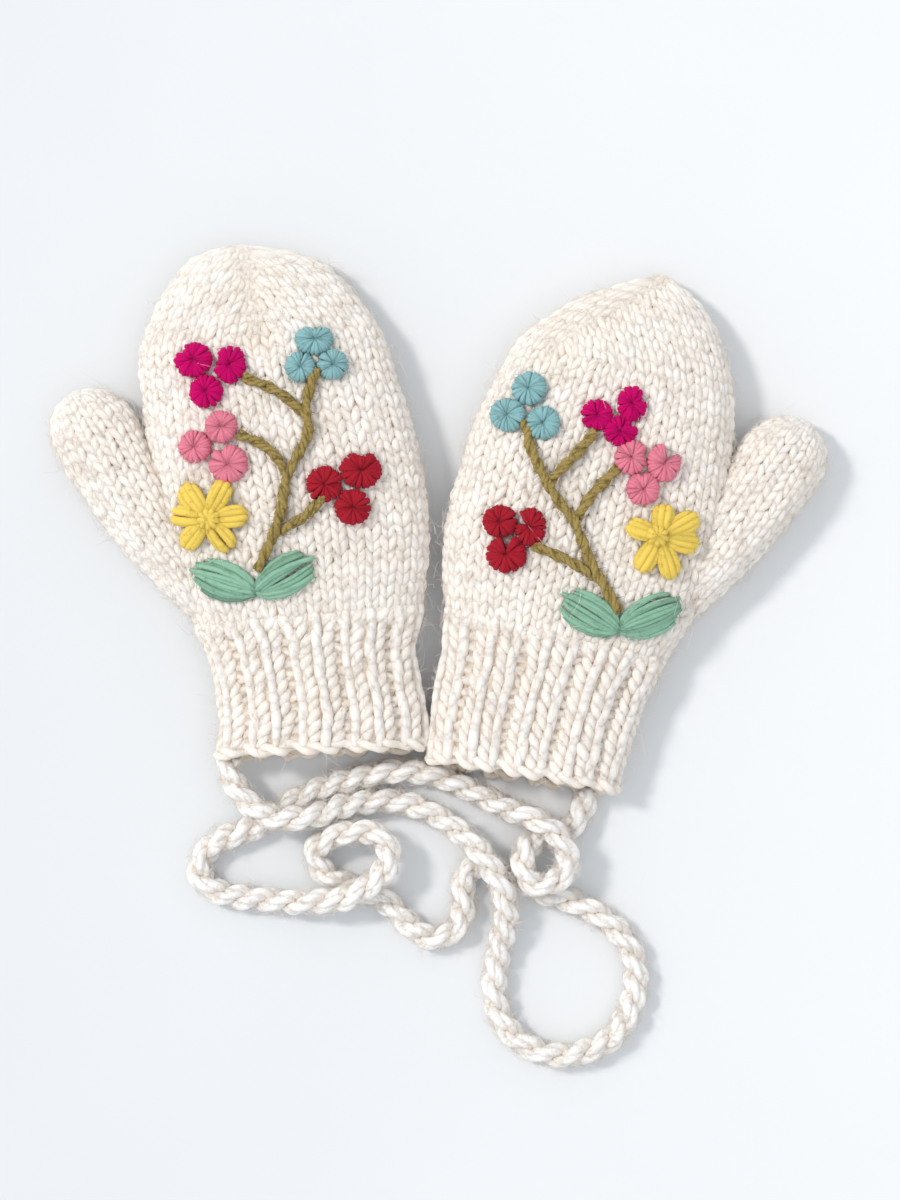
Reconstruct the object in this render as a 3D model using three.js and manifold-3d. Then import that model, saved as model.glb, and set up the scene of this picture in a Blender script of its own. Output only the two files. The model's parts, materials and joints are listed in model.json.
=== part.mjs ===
// A pair of child's knitted wool mittens on one twisted cord, lying palm down.
// Millimetres, +Z up: X runs across the pair, Y from the cuffs to the fingertips.
import * as THREE from 'three';
import { mergeVertices } from 'three/addons/utils/BufferGeometryUtils.js';
import Module from 'manifold-3d';

const wasm = await Module();
wasm.setup();

// Driving dimensions
const handLength = 118;        // top of the cuff to the fingertips
const handHalfWidth = 44;
const handHeight = 24;
const cuffLength = 44;
const cuffHalfWidth = 32.5;
const cuffHeight = 18;
const thumbLength = 80;
const thumbHalfWidth = 14;
const thumbHeight = 18;
const knitWall = 3.6;          // worsted wool, knitted
const ribRepeats = 9;          // two knit and two purl stitches each
const ribDepth = 1.6;
const mouthSlant = 2;          // the lower edge of the cuff's mouth reaches further than the upper
const mouthRise = 3.4;         // the far side of the mouth reaches further than the thumb side
const puckerDepth = 1.4;       // the closing of the fingertips pulls the knitting in
const puckerWidth = 6;
const clearance = 0.3;         // between pieces that touch
const knotRadius = 5;
const knotHeight = 2.6;
const petalLength = 12.6;
const petalHeight = 1.8;
const centreHeight = 3.4;
const leafLength = 20;
const leafHalfWidth = 6.6;
const leafHeight = 2.2;
const stemRadius = 1.6;
const cordDiameter = 7;
const mittenGap = 1.2;           // between the two mittens where they lie closest

// Mesh fineness
const handPoints = 36;
const thumbPoints = 16;
const knotSides = 10;
const stemSides = 6;
const cordSides = 8;
const cordSteps = 80;

// The cross-section of a mitten lying flat: a dome over a flattened underside
const widestShare = 0.42;      // height of the widest level
const domePower = 2.6;
const domeRoot = 2.2;
const floorFlatness = 1.18;    // above 1 the underside is flat in the middle

// Outline of each hand, from the top of the cuff to the fingertips.
// along: share of handLength; thumbSide, farSide: shares of handHalfWidth from the middle line;
// top, floor: shares of handHeight
const leftHand = [
  { along: 0.000, thumbSide: 0.818, farSide: 0.800, top: 0.83, floor: 0.00 },
  { along: 0.100, thumbSide: 0.898, farSide: 0.864, top: 0.92, floor: 0.00 },
  { along: 0.218, thumbSide: 0.943, farSide: 0.900, top: 0.98, floor: 0.00 },
  { along: 0.362, thumbSide: 0.995, farSide: 0.886, top: 1.00, floor: 0.00 },
  { along: 0.508, thumbSide: 1.045, farSide: 0.830, top: 1.00, floor: 0.00 },
  { along: 0.627, thumbSide: 1.045, farSide: 0.750, top: 0.98, floor: 0.00 },
  { along: 0.737, thumbSide: 1.036, farSide: 0.682, top: 0.92, floor: 0.00 },
  { along: 0.818, thumbSide: 0.943, farSide: 0.555, top: 0.84, floor: 0.01 },
  { along: 0.894, thumbSide: 0.818, farSide: 0.409, top: 0.72, floor: 0.05 },
  { along: 0.949, thumbSide: 0.682, farSide: 0.227, top: 0.60, floor: 0.10 },
  { along: 0.983, thumbSide: 0.568, farSide: -0.010, top: 0.49, floor: 0.15 },
  { along: 1.000, thumbSide: 0.455, farSide: -0.220, top: 0.39, floor: 0.20 },
];
const rightHand = [
  { along: 0.000, thumbSide: 0.780, farSide: 0.820, top: 0.83, floor: 0.00 },
  { along: 0.100, thumbSide: 0.880, farSide: 0.905, top: 0.92, floor: 0.00 },
  { along: 0.218, thumbSide: 0.950, farSide: 0.960, top: 0.98, floor: 0.00 },
  { along: 0.362, thumbSide: 0.960, farSide: 0.955, top: 1.00, floor: 0.00 },
  { along: 0.508, thumbSide: 0.920, farSide: 0.925, top: 1.00, floor: 0.00 },
  { along: 0.627, thumbSide: 0.876, farSide: 0.850, top: 0.98, floor: 0.00 },
  { along: 0.737, thumbSide: 0.790, farSide: 0.760, top: 0.92, floor: 0.00 },
  { along: 0.818, thumbSide: 0.680, farSide: 0.590, top: 0.84, floor: 0.01 },
  { along: 0.894, thumbSide: 0.520, farSide: 0.365, top: 0.72, floor: 0.05 },
  { along: 0.945, thumbSide: 0.355, farSide: 0.150, top: 0.60, floor: 0.10 },
  { along: 0.974, thumbSide: 0.225, farSide: 0.000, top: 0.49, floor: 0.15 },
  { along: 0.988, thumbSide: 0.135, farSide: -0.080, top: 0.39, floor: 0.20 },
];

// Outline of each cuff below its top edge.
// along: share of cuffLength; thumbSide, farSide: shares of cuffHalfWidth; top: share of cuffHeight
const leftCuff = [
  { along: 0.04, thumbSide: 0.994, farSide: 1.000, top: 1.00 },
  { along: 0.27, thumbSide: 0.938, farSide: 1.015, top: 1.00 },
  { along: 0.50, thumbSide: 0.935, farSide: 0.978, top: 1.00 },
  { along: 0.70, thumbSide: 0.960, farSide: 0.960, top: 1.02 },
  { along: 0.86, thumbSide: 1.015, farSide: 1.025, top: 1.07 },
];
const rightCuff = [
  { along: -0.03, thumbSide: 0.890, farSide: 0.915, top: 1.00 },
  { along: 0.27, thumbSide: 0.895, farSide: 0.985, top: 1.00 },
  { along: 0.50, thumbSide: 0.923, farSide: 1.015, top: 1.00 },
  { along: 0.70, thumbSide: 0.948, farSide: 1.022, top: 1.02 },
  { along: 0.86, thumbSide: 1.000, farSide: 1.065, top: 1.07 },
];

// Outline of the thumb along its own axis.
// along: share of thumbLength; outer, inner: shares of thumbHalfWidth; top, floor: shares of thumbHeight
const thumbRows = [
  { along: 0.00, outer: 0.45, inner: 0.45, top: 0.85, floor: 0.00 },
  { along: 0.15, outer: 0.72, inner: 0.58, top: 0.92, floor: 0.00 },
  { along: 0.30, outer: 0.95, inner: 0.62, top: 0.97, floor: 0.00 },
  { along: 0.46, outer: 1.12, inner: 0.62, top: 1.00, floor: 0.00 },
  { along: 0.62, outer: 1.21, inner: 0.66, top: 1.00, floor: 0.00 },
  { along: 0.77, outer: 1.26, inner: 0.70, top: 0.98, floor: 0.00 },
  { along: 0.88, outer: 1.20, inner: 0.60, top: 0.90, floor: 0.01 },
  { along: 0.95, outer: 1.00, inner: 0.36, top: 0.79, floor: 0.06 },
  { along: 1.00, outer: 0.68, inner: 0.04, top: 0.64, floor: 0.16 },
];

// Embroidery. across: share of handHalfWidth; along: share of handLength.
// Each knot is given from the middle of its flower in shares of knotRadius: across, along, radius.
const leftEmbroidery = {
  flowers: [
    { name: 'magenta_knot', across: -0.533, along: 0.660,
      knots: [[-0.94, 0.82, 1.00], [1.26, 0.32, 1.00], [-0.32, -1.18, 0.96]] },
    { name: 'teal_knot', across: 0.206, along: 0.674,
      knots: [[0.00, 1.08, 0.92], [-0.98, -0.52, 0.88], [0.98, -0.54, 0.88]] },
    { name: 'pink_knot', across: -0.540, along: 0.468,
      knots: [[0.48, 1.12, 0.93], [-1.22, 0.06, 0.93], [0.72, -1.18, 1.08]] },
    { name: 'red_knot', across: 0.339, along: 0.331,
      knots: [[0.98, 0.96, 1.09], [-1.28, 0.28, 1.04], [0.30, -1.26, 1.04]] },
  ],
  daisy: { across: -0.634, along: 0.280 },
  petals: [[120, 1.05], [59, 1.07], [2, 1.00], [-58, 0.96], [-134, 0.92], [166, 0.90]],
  leafRoot: { across: -0.350, along: 0.080 },
  leafAngles: { outer: 24, inner: 155 },
  stem: [[-0.325, 0.136], [-0.209, 0.208], [-0.120, 0.285], [-0.066, 0.370], [0.057, 0.440],
    [0.116, 0.486], [0.105, 0.539], [0.141, 0.588], [0.206, 0.645]],
  branches: [
    [[0.082, 0.535], [-0.084, 0.595], [-0.300, 0.637]],
    [[-0.061, 0.380], [-0.175, 0.447], [-0.370, 0.491]],
    [[-0.140, 0.233], [0.036, 0.264], [0.190, 0.312]],
  ],
};
const rightEmbroidery = {
  flowers: [
    { name: 'magenta_knot', across: -0.033, along: 0.594,
      knots: [[1.18, -0.18, 0.92], [-0.44, -0.80, 0.90], [-0.74, 0.98, 0.90]] },
    { name: 'teal_knot', across: 0.580, along: 0.559,
      knots: [[0.16, 1.24, 0.97], [1.02, -0.62, 0.97], [-1.12, -0.60, 0.97]] },
    { name: 'pink_knot', across: -0.318, along: 0.478,
      knots: [[1.04, 0.50, 0.97], [-0.96, 0.66, 0.97], [-0.08, -1.16, 0.97]] },
    { name: 'red_knot', across: 0.472, along: 0.235,
      knots: [[0.98, 0.56, 0.90], [-0.90, 0.66, 0.90], [0.12, -1.28, 1.06]] },
  ],
  daisy: { across: -0.514, along: 0.317 },
  petals: [[86, 0.82], [138, 1.10], [176, 1.00], [-120, 1.10], [-73, 1.00], [7, 0.84]],
  leafRoot: { across: -0.398, along: 0.056 },
  leafAngles: { outer: 16, inner: 142 },
  stem: [[-0.368, 0.103], [-0.202, 0.167], [-0.084, 0.215], [0.023, 0.271], [0.100, 0.310],
    [0.223, 0.345], [0.368, 0.402], [0.495, 0.464], [0.575, 0.530]],
  branches: [
    [[0.318, 0.390], [0.198, 0.464], [0.085, 0.545]],
    [[0.073, 0.315], [0.002, 0.384], [-0.120, 0.462]],
    [[-0.140, 0.178], [0.066, 0.202], [0.320, 0.218]],
  ],
};

// Outline of a satin-stitch leaf: share of leafLength, share of leafHalfWidth
const leafOutline = [[0.03, 0.30], [0.16, 0.78], [0.38, 1.00], [0.64, 0.97], [0.87, 0.66], [1.00, 0.20]];

// How each mitten lies. turn: degrees about its own cuff; cuffAlong: millimetres;
// thumbLean: degrees from the middle line; thumbRoot and pucker: shares of handHalfWidth
// and handLength; cordExit: shares of the cuff's thumb side and height
const leftLie = {
  turn: 5, cuffAlong: -75.3, thumbLean: 24.5, thumbRoot: [-0.705, 0.045],
  pucker: [[-0.19, 0.74], [-0.22, 1.00]], cordExit: [0.89, 0.42],
};
const rightLie = {
  turn: -13.5, cuffAlong: -80.3, thumbLean: 20.5, thumbRoot: [-0.645, 0.085],
  pucker: [[0.53, 0.71], [-0.13, 0.98]], cordExit: [0.70, 0.21],
};

// The cord's route between the two cuffs: across, along, and its lift in cord diameters
// where it passes over itself
const cordRoute = [
  [-58.3, -89.6, 0.9], [-51.2, -93.3, 1.0], [-40.6, -93.3, 1.0],
  [-29.1, -90.0, 0.4], [-15.2, -88.7, 0.0], [-4.3, -91.5, 0.0], [5.9, -97.7, 0.5],
  [13.6, -105.4, 1.0], [19.2, -114.4, 1.0], [20.8, -124.6, 0.5], [18.3, -137.6, 0.0],
  [17.4, -150.0, 0.0], [22.3, -160.9, 0.0], [32.2, -167.1, 0.0], [44.3, -167.4, 0.0],
  [54.6, -161.5, 0.0], [60.8, -150.0, 0.0], [60.5, -137.0, 0.0], [53.3, -126.8, 0.0],
  [42.5, -120.6, 0.0], [32.2, -116.9, 0.0], [22.6, -112.2, 0.0], [14.0, -108.5, 0.0],
  [7.8, -112.2, 0.0], [7.8, -120.3, 0.0], [5.9, -127.7, 0.0], [-1.6, -131.4, 0.0],
  [-9.6, -127.1, 0.0], [-15.8, -120.6, 0.0], [-25.1, -115.6, 0.0], [-34.4, -112.5, 0.0],
  [-38.8, -105.7, 0.1], [-35.2, -100.4, 0.4], [-27.0, -98.2, 0.7], [-18.9, -98.9, 0.9],
  [-15.5, -105.4, 1.0], [-19.5, -112.8, 1.0], [-29.1, -118.4, 0.9], [-41.2, -120.0, 0.4],
  [-57.0, -119.0, 0.0], [-69.8, -116.6, 0.0], [-75.0, -110.4, 0.0], [-71.3, -102.9, 0.0],
  [-61.7, -98.6, 0.0], [-51.5, -93.3, 0.0], [-43.1, -87.7, 0.0], [-30.7, -83.1, 0.0],
  [-16.7, -79.7, 0.0], [-3.4, -80.0, 0.0], [9.0, -84.9, 0.0], [20.5, -90.5, 0.5],
  [30.1, -94.2, 1.0], [37.5, -99.8, 1.0], [40.0, -107.3, 0.9], [35.3, -113.8, 1.0],
  [28.5, -113.5, 1.0], [25.7, -107.0, 0.95], [29.5, -101.1, 0.3], [36.9, -99.2, 0.0],
  [42.8, -95.5, 0.1],
];
const cordHump = cordDiameter + 0.4;         // height gained where the cord lies on itself
const cordRun = 6;             // straight stretch out of each cuff

// Solids

function outwardSolid(points, faces) {
  let volume = 0;
  for (const [a, b, c] of faces) {
    volume += points[a].dot(new THREE.Vector3().crossVectors(points[b], points[c]));
  }
  const triVerts = volume > 0 ? faces.flat() : faces.flatMap(([a, b, c]) => [a, c, b]);
  return new wasm.Manifold(new wasm.Mesh({
    numProp: 3,
    vertProperties: new Float32Array(points.flatMap((p) => [p.x, p.y, p.z])),
    triVerts: new Uint32Array(triVerts),
  }));
}

function solidOfGeometry(geometry) {
  const bare = geometry.clone();
  bare.deleteAttribute('normal');
  bare.deleteAttribute('uv');
  const merged = mergeVertices(bare, 1e-4);
  const place = merged.getAttribute('position');
  const points = [];
  for (let i = 0; i < place.count; i += 1) {
    points.push(new THREE.Vector3().fromBufferAttribute(place, i));
  }
  const index = merged.getIndex().array;
  const faces = [];
  for (let i = 0; i < index.length; i += 3) {
    const [a, b, c] = [index[i], index[i + 1], index[i + 2]];
    if (a !== b && b !== c && c !== a) {
      faces.push([a, b, c]);
    }
  }
  return outwardSolid(points, faces);
}

function largestBody(solid) {
  return solid.decompose().reduce((a, b) => (a.volume() > b.volume() ? a : b));
}

function pieceMesh(name, solid, material) {
  const { vertProperties, triVerts } = largestBody(solid).getMesh();
  const geometry = new THREE.BufferGeometry();
  geometry.setAttribute('position', new THREE.Float32BufferAttribute(vertProperties, 3));
  geometry.setIndex([...triVerts]);
  geometry.computeVertexNormals();
  const mesh = new THREE.Mesh(geometry, material);
  mesh.name = name;
  return mesh;
}

// A closed solid through rings of as many points each, with a fan over each end
function loft(rings) {
  const count = rings[0].length;
  const points = rings.flat();
  const faces = [];
  for (let r = 0; r + 1 < rings.length; r += 1) {
    for (let i = 0; i < count; i += 1) {
      const a = r * count + i;
      const b = r * count + ((i + 1) % count);
      faces.push([a, b, b + count], [a, b + count, a + count]);
    }
  }
  for (const [ring, first, turn] of [[rings[0], 0, 1], [rings.at(-1), points.length - count, 0]]) {
    const middle = ring.reduce((sum, p) => sum.add(p), new THREE.Vector3()).divideScalar(count);
    points.push(middle);
    for (let i = 0; i < count; i += 1) {
      const next = first + ((i + 1) % count);
      faces.push(turn ? [points.length - 1, next, first + i] : [points.length - 1, first + i, next]);
    }
  }
  return outwardSolid(points, faces);
}

// Cross-sections

function domeShare(t) {
  return Math.max(0, 1 - Math.abs(t) ** domePower) ** (1 / domeRoot);
}

// Height over a section at t, from -1 at the thumb side to 1 at the far side
function sectionTop(section, t) {
  const middle = section.floor + widestShare * (section.top - section.floor);
  return middle + (section.top - middle) * domeShare(t);
}

function sectionBottom(section, t) {
  const middle = section.floor + widestShare * (section.top - section.floor);
  return middle - (middle - section.floor) * Math.min(1, floorFlatness * domeShare(t));
}

// Points at even steps over the top of a section and back under it, as [across, height]
function sectionRing(section, count) {
  const fine = 120;
  const centre = (section.right + section.left) / 2;
  const half = (section.right - section.left) / 2;
  const sides = [sectionTop, sectionBottom].map((height, under) => {
    const line = [];
    for (let i = 0; i <= fine; i += 1) {
      const t = -Math.cos(Math.PI * i / fine) * (under ? -1 : 1);
      line.push(new THREE.Vector2(centre + half * t, height(section, t)));
    }
    const run = [0];
    for (let i = 1; i <= fine; i += 1) {
      run.push(run[i - 1] + line[i].distanceTo(line[i - 1]));
    }
    const points = [];
    for (let k = 0; k < count / 2; k += 1) {
      const want = run[fine] * k / (count / 2);
      const i = Math.max(1, run.findIndex((r) => r >= want));
      const mix = (want - run[i - 1]) / (run[i] - run[i - 1]);
      points.push(line[i - 1].clone().lerp(line[i], mix));
    }
    return points;
  });
  return sides.flat();
}

// Moves a section's outline out by a distance, or in where it is negative
function movedSection(section, out) {
  const least = 0.8;
  const middle = (section.left + section.right) / 2;
  const level = section.floor + widestShare * (section.top - section.floor);
  return {
    ...section,
    left: Math.min(section.left - out, middle - least),
    right: Math.max(section.right + out, middle + least),
    top: Math.max(section.top + out, level + least),
    floor: Math.min(section.floor - out, level - least / 2),
  };
}

// The section at a place between two of the given ones
function sectionAt(sections, y) {
  const after = THREE.MathUtils.clamp(sections.findIndex((section) => section.y > y),
    1, sections.length - 1);
  const [a, b] = [sections[after - 1], sections[after]];
  const mix = (y - a.y) / (b.y - a.y);
  return Object.fromEntries(['y', 'left', 'right', 'top', 'floor']
    .map((key) => [key, THREE.MathUtils.lerp(a[key], b[key], mix)]));
}

// Hand

function handSections(rows) {
  const start = cuffLength + clearance;
  return rows.map((row) => ({
    y: start + row.along * (cuffLength + handLength - start),
    left: -row.thumbSide * handHalfWidth,
    right: row.farSide * handHalfWidth,
    top: row.top * handHeight,
    floor: row.floor * handHeight,
  }));
}

function puckerAt(lie, x, y) {
  const [from, to] = lie.pucker.map(([across, along]) => new THREE.Vector2(
    across * handHalfWidth, cuffLength + along * handLength));
  const line = to.clone().sub(from);
  const spot = new THREE.Vector2(x, y).sub(from);
  const share = THREE.MathUtils.clamp(spot.dot(line) / line.lengthSq(), 0, 1);
  const away = spot.distanceTo(line.multiplyScalar(share));
  return puckerDepth * Math.exp(-((away / puckerWidth) ** 2));
}

function handLoft(sections, lie, out) {
  const first = sections[0];
  const last = sections.at(-1);
  const stretch = (last.y + out - first.y) / (last.y - first.y);
  const rings = sections.map((section) => {
    const y = first.y + (section.y - first.y) * stretch;
    return sectionRing(movedSection(section, out), handPoints).map(([x, z], i) => {
      const upper = i < handPoints / 2;
      return new THREE.Vector3(x, y, upper ? z - puckerAt(lie, x, y) * (z / section.top) : z);
    });
  });
  if (out !== 0) {
    const before = rings[0].map((p) => p.clone().setY(first.y - 2 * knitWall));
    rings.unshift(before);
  }
  return loft(rings);
}

// Height of the back of the hand, on which the embroidery lies
function backOfHand(sections, lie) {
  return (x, y) => {
    const section = sectionAt(sections, y);
    const half = (section.right - section.left) / 2;
    const t = (x - (section.left + section.right) / 2) / half;
    return sectionTop(section, t) - puckerAt(lie, x, y);
  };
}

// Thumb

function thumbSections() {
  return thumbRows.map((row) => ({
    y: row.along * thumbLength,
    left: -row.outer * thumbHalfWidth,
    right: row.inner * thumbHalfWidth,
    top: row.top * thumbHeight,
    floor: row.floor * thumbHeight,
  }));
}

// Places a point of the thumb's own frame in the mitten
function onThumb(lie, point) {
  const root = new THREE.Vector3(lie.thumbRoot[0] * handHalfWidth,
    cuffLength + lie.thumbRoot[1] * handLength, 0);
  const lean = THREE.MathUtils.degToRad(lie.thumbLean);
  return point.applyAxisAngle(new THREE.Vector3(0, 0, 1), lean).add(root);
}

function thumbLoft(sections, lie, out) {
  const last = sections.at(-1).y;
  return loft(sections.map((section) => {
    const y = section.y * (last + out) / last;
    return sectionRing(movedSection(section, out), thumbPoints)
      .map(([x, z]) => onThumb(lie, new THREE.Vector3(x, y, z)));
  }));
}

// The lower part of the thumb, up to where its middle leaves the hand. The two hollows meet
// in it, and on the hand's side it is wide enough for a thumb to slip through.
function thumbBelowCrotch(hand, thumb, lie) {
  const step = 0.5;
  let y = step;
  while (y < thumbLength) {
    const { left, right } = sectionAt(thumb, y);
    const middle = onThumb(lie, new THREE.Vector3((left + right) / 2, y, 0));
    if (middle.x < sectionAt(hand, middle.y).left) {
      break;
    }
    y += step;
  }
  const top = Math.min(y + knitWall, thumbLength);
  return [...thumb.filter((section) => section.y < top - step), sectionAt(thumb, top)]
    .map((section) => ({ ...section, right: Math.max(section.right, thumbHalfWidth) }));
}

// Cuff

function cuffSections(rows, handStart) {
  const sections = rows.map((row) => ({
    y: row.along * cuffLength,
    left: -row.thumbSide * cuffHalfWidth,
    right: row.farSide * cuffHalfWidth,
    top: row.top * cuffHeight,
    floor: 0,
    mouth: (1 - row.along) ** 4,
    rib: 1,
  }));
  sections.push({ ...handStart, y: cuffLength, mouth: 0, rib: 0.5 });
  return sections;
}

// How far a point of a cuff stands back from the reach of its mouth
function mouthOffset(section, x, z) {
  const across = (section.right - x) / (section.right - section.left) - 0.5;
  return section.mouth * (mouthSlant * z / section.top + mouthRise * across);
}

function cuffRing(section, out) {
  const count = 4 * ribRepeats;
  const fine = sectionRing(section, 8 * count);
  const squeeze = 0.16;        // how far the two edges of a rib lean towards each other
  const points = [];
  for (let i = 0; i < count; i += 1) {
    const shift = [squeeze, -squeeze, squeeze, -squeeze][i % 4];
    const k = Math.round((i + shift + 0.5) * 8) % fine.length;
    const here = fine[k];
    const ahead = fine[(k + 2) % fine.length];
    const behind = fine[(k - 2 + fine.length) % fine.length];
    const normal = new THREE.Vector2(behind.y - ahead.y, ahead.x - behind.x).normalize();
    const raised = i % 4 < 2 ? 0.5 : -0.5;
    const push = out + ribDepth * section.rib * raised;
    const x = here.x + normal.x * push;
    const z = here.y + normal.y * push + ribDepth * section.rib / 2;
    points.push(new THREE.Vector3(x, section.y + mouthOffset(section, x, z), z));
  }
  return points;
}

function cuffSolid(sections) {
  const outer = sections.map((section) => cuffRing(section, 0));
  const inner = sections.map((section) => cuffRing(section, -knitWall));
  const before = inner[0].map((p) => p.clone().setY(p.y - knitWall));
  const after = inner.at(-1).map((p) => p.clone().setY(p.y + knitWall));
  return loft(outer).subtract(loft([before, ...inner, after]));
}

// Embroidery, laid on the back of the hand

function surfacePoint(back, x, y, height) {
  const step = 0.5;
  const slopeX = (back(x + step, y) - back(x - step, y)) / (2 * step);
  const slopeY = (back(x, y + step) - back(x, y - step)) / (2 * step);
  const normal = new THREE.Vector3(-slopeX, -slopeY, 1).normalize();
  return new THREE.Vector3(x, y, back(x, y)).addScaledVector(normal, height);
}

// Bends a flat geometry, whose y is its height, on to the back of the hand
function draped(geometry, back, x, y) {
  const place = geometry.getAttribute('position');
  for (let i = 0; i < place.count; i += 1) {
    const p = new THREE.Vector3().fromBufferAttribute(place, i);
    const q = surfacePoint(back, x + p.x, y - p.z, p.y + clearance);
    place.setXYZ(i, q.x, q.y, q.z);
  }
  return solidOfGeometry(geometry);
}

function knotSolid(back, x, y, radius, grow) {
  const r = radius + grow;
  const profile = [[0, -grow], [r, -grow], [0.8 * r, knotHeight + grow], [0, 0.75 * knotHeight + grow]]
    .map(([a, b]) => new THREE.Vector2(a, b));
  return draped(new THREE.LatheGeometry(profile, knotSides), back, x, y);
}

// A low pad over an outline, with an inner ring and a middle at heights of their own
function padSolid(back, outline, middle, edge, innerShare, innerHeight, middleHeight, grow) {
  const sag = 0.25;            // what the straight facets below cut off the curve
  const on = (p, height) => surfacePoint(back, p.x, p.y, height + clearance + sag);
  const outer = outline.map((p) => p.clone().sub(middle))
    .map((p) => p.clone().setLength(p.length() + grow).add(middle));
  const inner = outline.map((p) => middle.clone().lerp(p, innerShare));
  const rings = [
    outline.map((p) => on(middle.clone().lerp(p, 0.5), -grow)),
    outer.map((p) => on(p, -grow)),
    outer.map((p) => on(p, edge + grow)),
    inner.map((p) => on(p, innerHeight + grow)),
  ];
  const points = rings.flat();
  const count = outline.length;
  const low = points.push(on(middle, -grow)) - 1;
  const high = points.push(on(middle, middleHeight + grow)) - 1;
  const faces = [];
  for (let i = 0; i < count; i += 1) {
    const next = (i + 1) % count;
    faces.push([low, next, i], [high, 3 * count + i, 3 * count + next]);
    for (const base of [0, count, 2 * count]) {
      faces.push([base + i, base + next, base + count + next]);
      faces.push([base + i, base + count + next, base + count + i]);
    }
  }
  return outwardSolid(points, faces);
}

function daisySolid(back, embroidery, middle, grow) {
  const petals = embroidery.petals.map(([angle, length]) => ({ angle: (angle + 360) % 360, length }))
    .sort((a, b) => a.angle - b.angle);
  const shoulder = 11;         // degrees from a petal's middle to its shoulders
  const spokes = petals.flatMap((petal, i) => {
    const next = petals[(i + 1) % petals.length];
    const gapAngle = (petal.angle + next.angle + (next.angle < petal.angle ? 360 : 0)) / 2;
    return [[petal.angle - shoulder, petal.length], [petal.angle + shoulder, petal.length],
      [gapAngle, 0.46]];
  });
  const outline = spokes.map(([angle, share]) => {
    const turn = THREE.MathUtils.degToRad(angle);
    return new THREE.Vector2(Math.cos(turn), Math.sin(turn)).multiplyScalar(share * petalLength)
      .add(middle);
  });
  return padSolid(back, outline, middle, petalHeight, 0.34, centreHeight, centreHeight, grow);
}

function leafSolid(back, root, angle, grow) {
  const turn = THREE.MathUtils.degToRad(angle);
  const along = new THREE.Vector2(Math.cos(turn), Math.sin(turn));
  const side = new THREE.Vector2(-along.y, along.x);
  const spot = (a, s) => root.clone().addScaledVector(along, a * leafLength)
    .addScaledVector(side, s * leafHalfWidth);
  const outline = [...leafOutline.map(([a, s]) => spot(a, -s)),
    ...leafOutline.toReversed().map(([a, s]) => spot(a, s))];
  return padSolid(back, outline, spot(0.55, 0), 0.5 * leafHeight, 0.55, leafHeight, leafHeight, grow);
}

function tubeSolid(points, radius, sides, steps) {
  const section = new THREE.Shape();
  for (let i = 0; i < sides; i += 1) {
    const turn = 2 * Math.PI * (i + 0.5) / sides;
    const [x, y] = [radius * Math.cos(turn), radius * Math.sin(turn)];
    if (i === 0) {
      section.moveTo(x, y);
    } else {
      section.lineTo(x, y);
    }
  }
  section.closePath();
  const path = new THREE.CatmullRomCurve3(points, false, 'centripetal');
  path.getUtoTmapping = (u) => u;    // steps as close together as the chosen points
  return solidOfGeometry(new THREE.ExtrudeGeometry(section, { steps, extrudePath: path }));
}

function stemSolid(back, embroidery) {
  const onHand = ([across, along]) => surfacePoint(back, across * handHalfWidth,
    cuffLength + along * handLength, stemRadius + clearance);
  const stem = tubeSolid(embroidery.stem.map(onHand), stemRadius, stemSides, 11);
  return embroidery.branches.reduce(
    (whole, branch) => whole.add(tubeSolid(branch.map(onHand), stemRadius, stemSides, 4)), stem);
}

// Materials

const wool = new THREE.MeshStandardMaterial({ color: 0xf4ece0, roughness: 0.95, metalness: 0 });
const threadColours = {
  magenta_knot: 0xc7005f, teal_knot: 0x7db9be, pink_knot: 0xee7892, red_knot: 0xb41e33,
  daisy: 0xf5cd42, leaf: 0x73be96, stem: 0x877228,
};
const threads = Object.fromEntries(Object.entries(threadColours).map(([name, color]) => (
  [name, new THREE.MeshStandardMaterial({ color, roughness: 0.85, metalness: 0 })])));

// One mitten, modelled with its thumb towards -X; side is -1 for the mirrored one

function mittenPieces(hand, cuff, embroidery, lie) {
  const sections = handSections(hand);
  const thumb = thumbSections();
  const passage = thumbLoft(thumbBelowCrotch(sections, thumb, lie), lie, -knitWall);
  const handBody = handLoft(sections, lie, 0);
  const handInside = handLoft(sections, lie, -knitWall);
  const thumbInside = thumbLoft(thumb, lie, -knitWall)
    .subtract(handLoft(sections, lie, knitWall + clearance)).add(passage);
  const pieces = {
    cuff: [cuffSolid(cuffSections(cuff, sections[0])), wool],
    hand: [handBody.subtract(handInside).subtract(passage), wool],
    thumb: [thumbLoft(thumb, lie, 0).subtract(thumbInside)
      .subtract(handLoft(sections, lie, clearance)), wool],
  };

  const back = backOfHand(sections, lie);
  const spot = ({ across, along }) => new THREE.Vector2(
    across * handHalfWidth, cuffLength + along * handLength);
  const sewn = [];             // what later threads are kept clear of
  const sew = (name, make, material) => {
    const clear = sewn.reduce((solid, other) => solid.subtract(other), make(0));
    pieces[name] = [clear, material];
    sewn.push(make(clearance));
  };
  for (const flower of embroidery.flowers) {
    flower.knots.forEach(([across, along, radius], i) => {
      const place = spot(flower).add(new THREE.Vector2(across, along).multiplyScalar(knotRadius));
      sew(`${flower.name}_${i + 1}`,
        (grow) => knotSolid(back, place.x, place.y, radius * knotRadius, grow),
        threads[flower.name]);
    });
  }
  sew('daisy', (grow) => daisySolid(back, embroidery, spot(embroidery.daisy), grow), threads.daisy);
  const root = spot(embroidery.leafRoot);
  for (const [name, angle] of Object.entries(embroidery.leafAngles)) {
    sew(`leaf_${name}`, (grow) => leafSolid(back, root, angle, grow), threads.leaf);
  }
  sew('stem', () => stemSolid(back, embroidery), threads.stem);
  return pieces;
}

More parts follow.
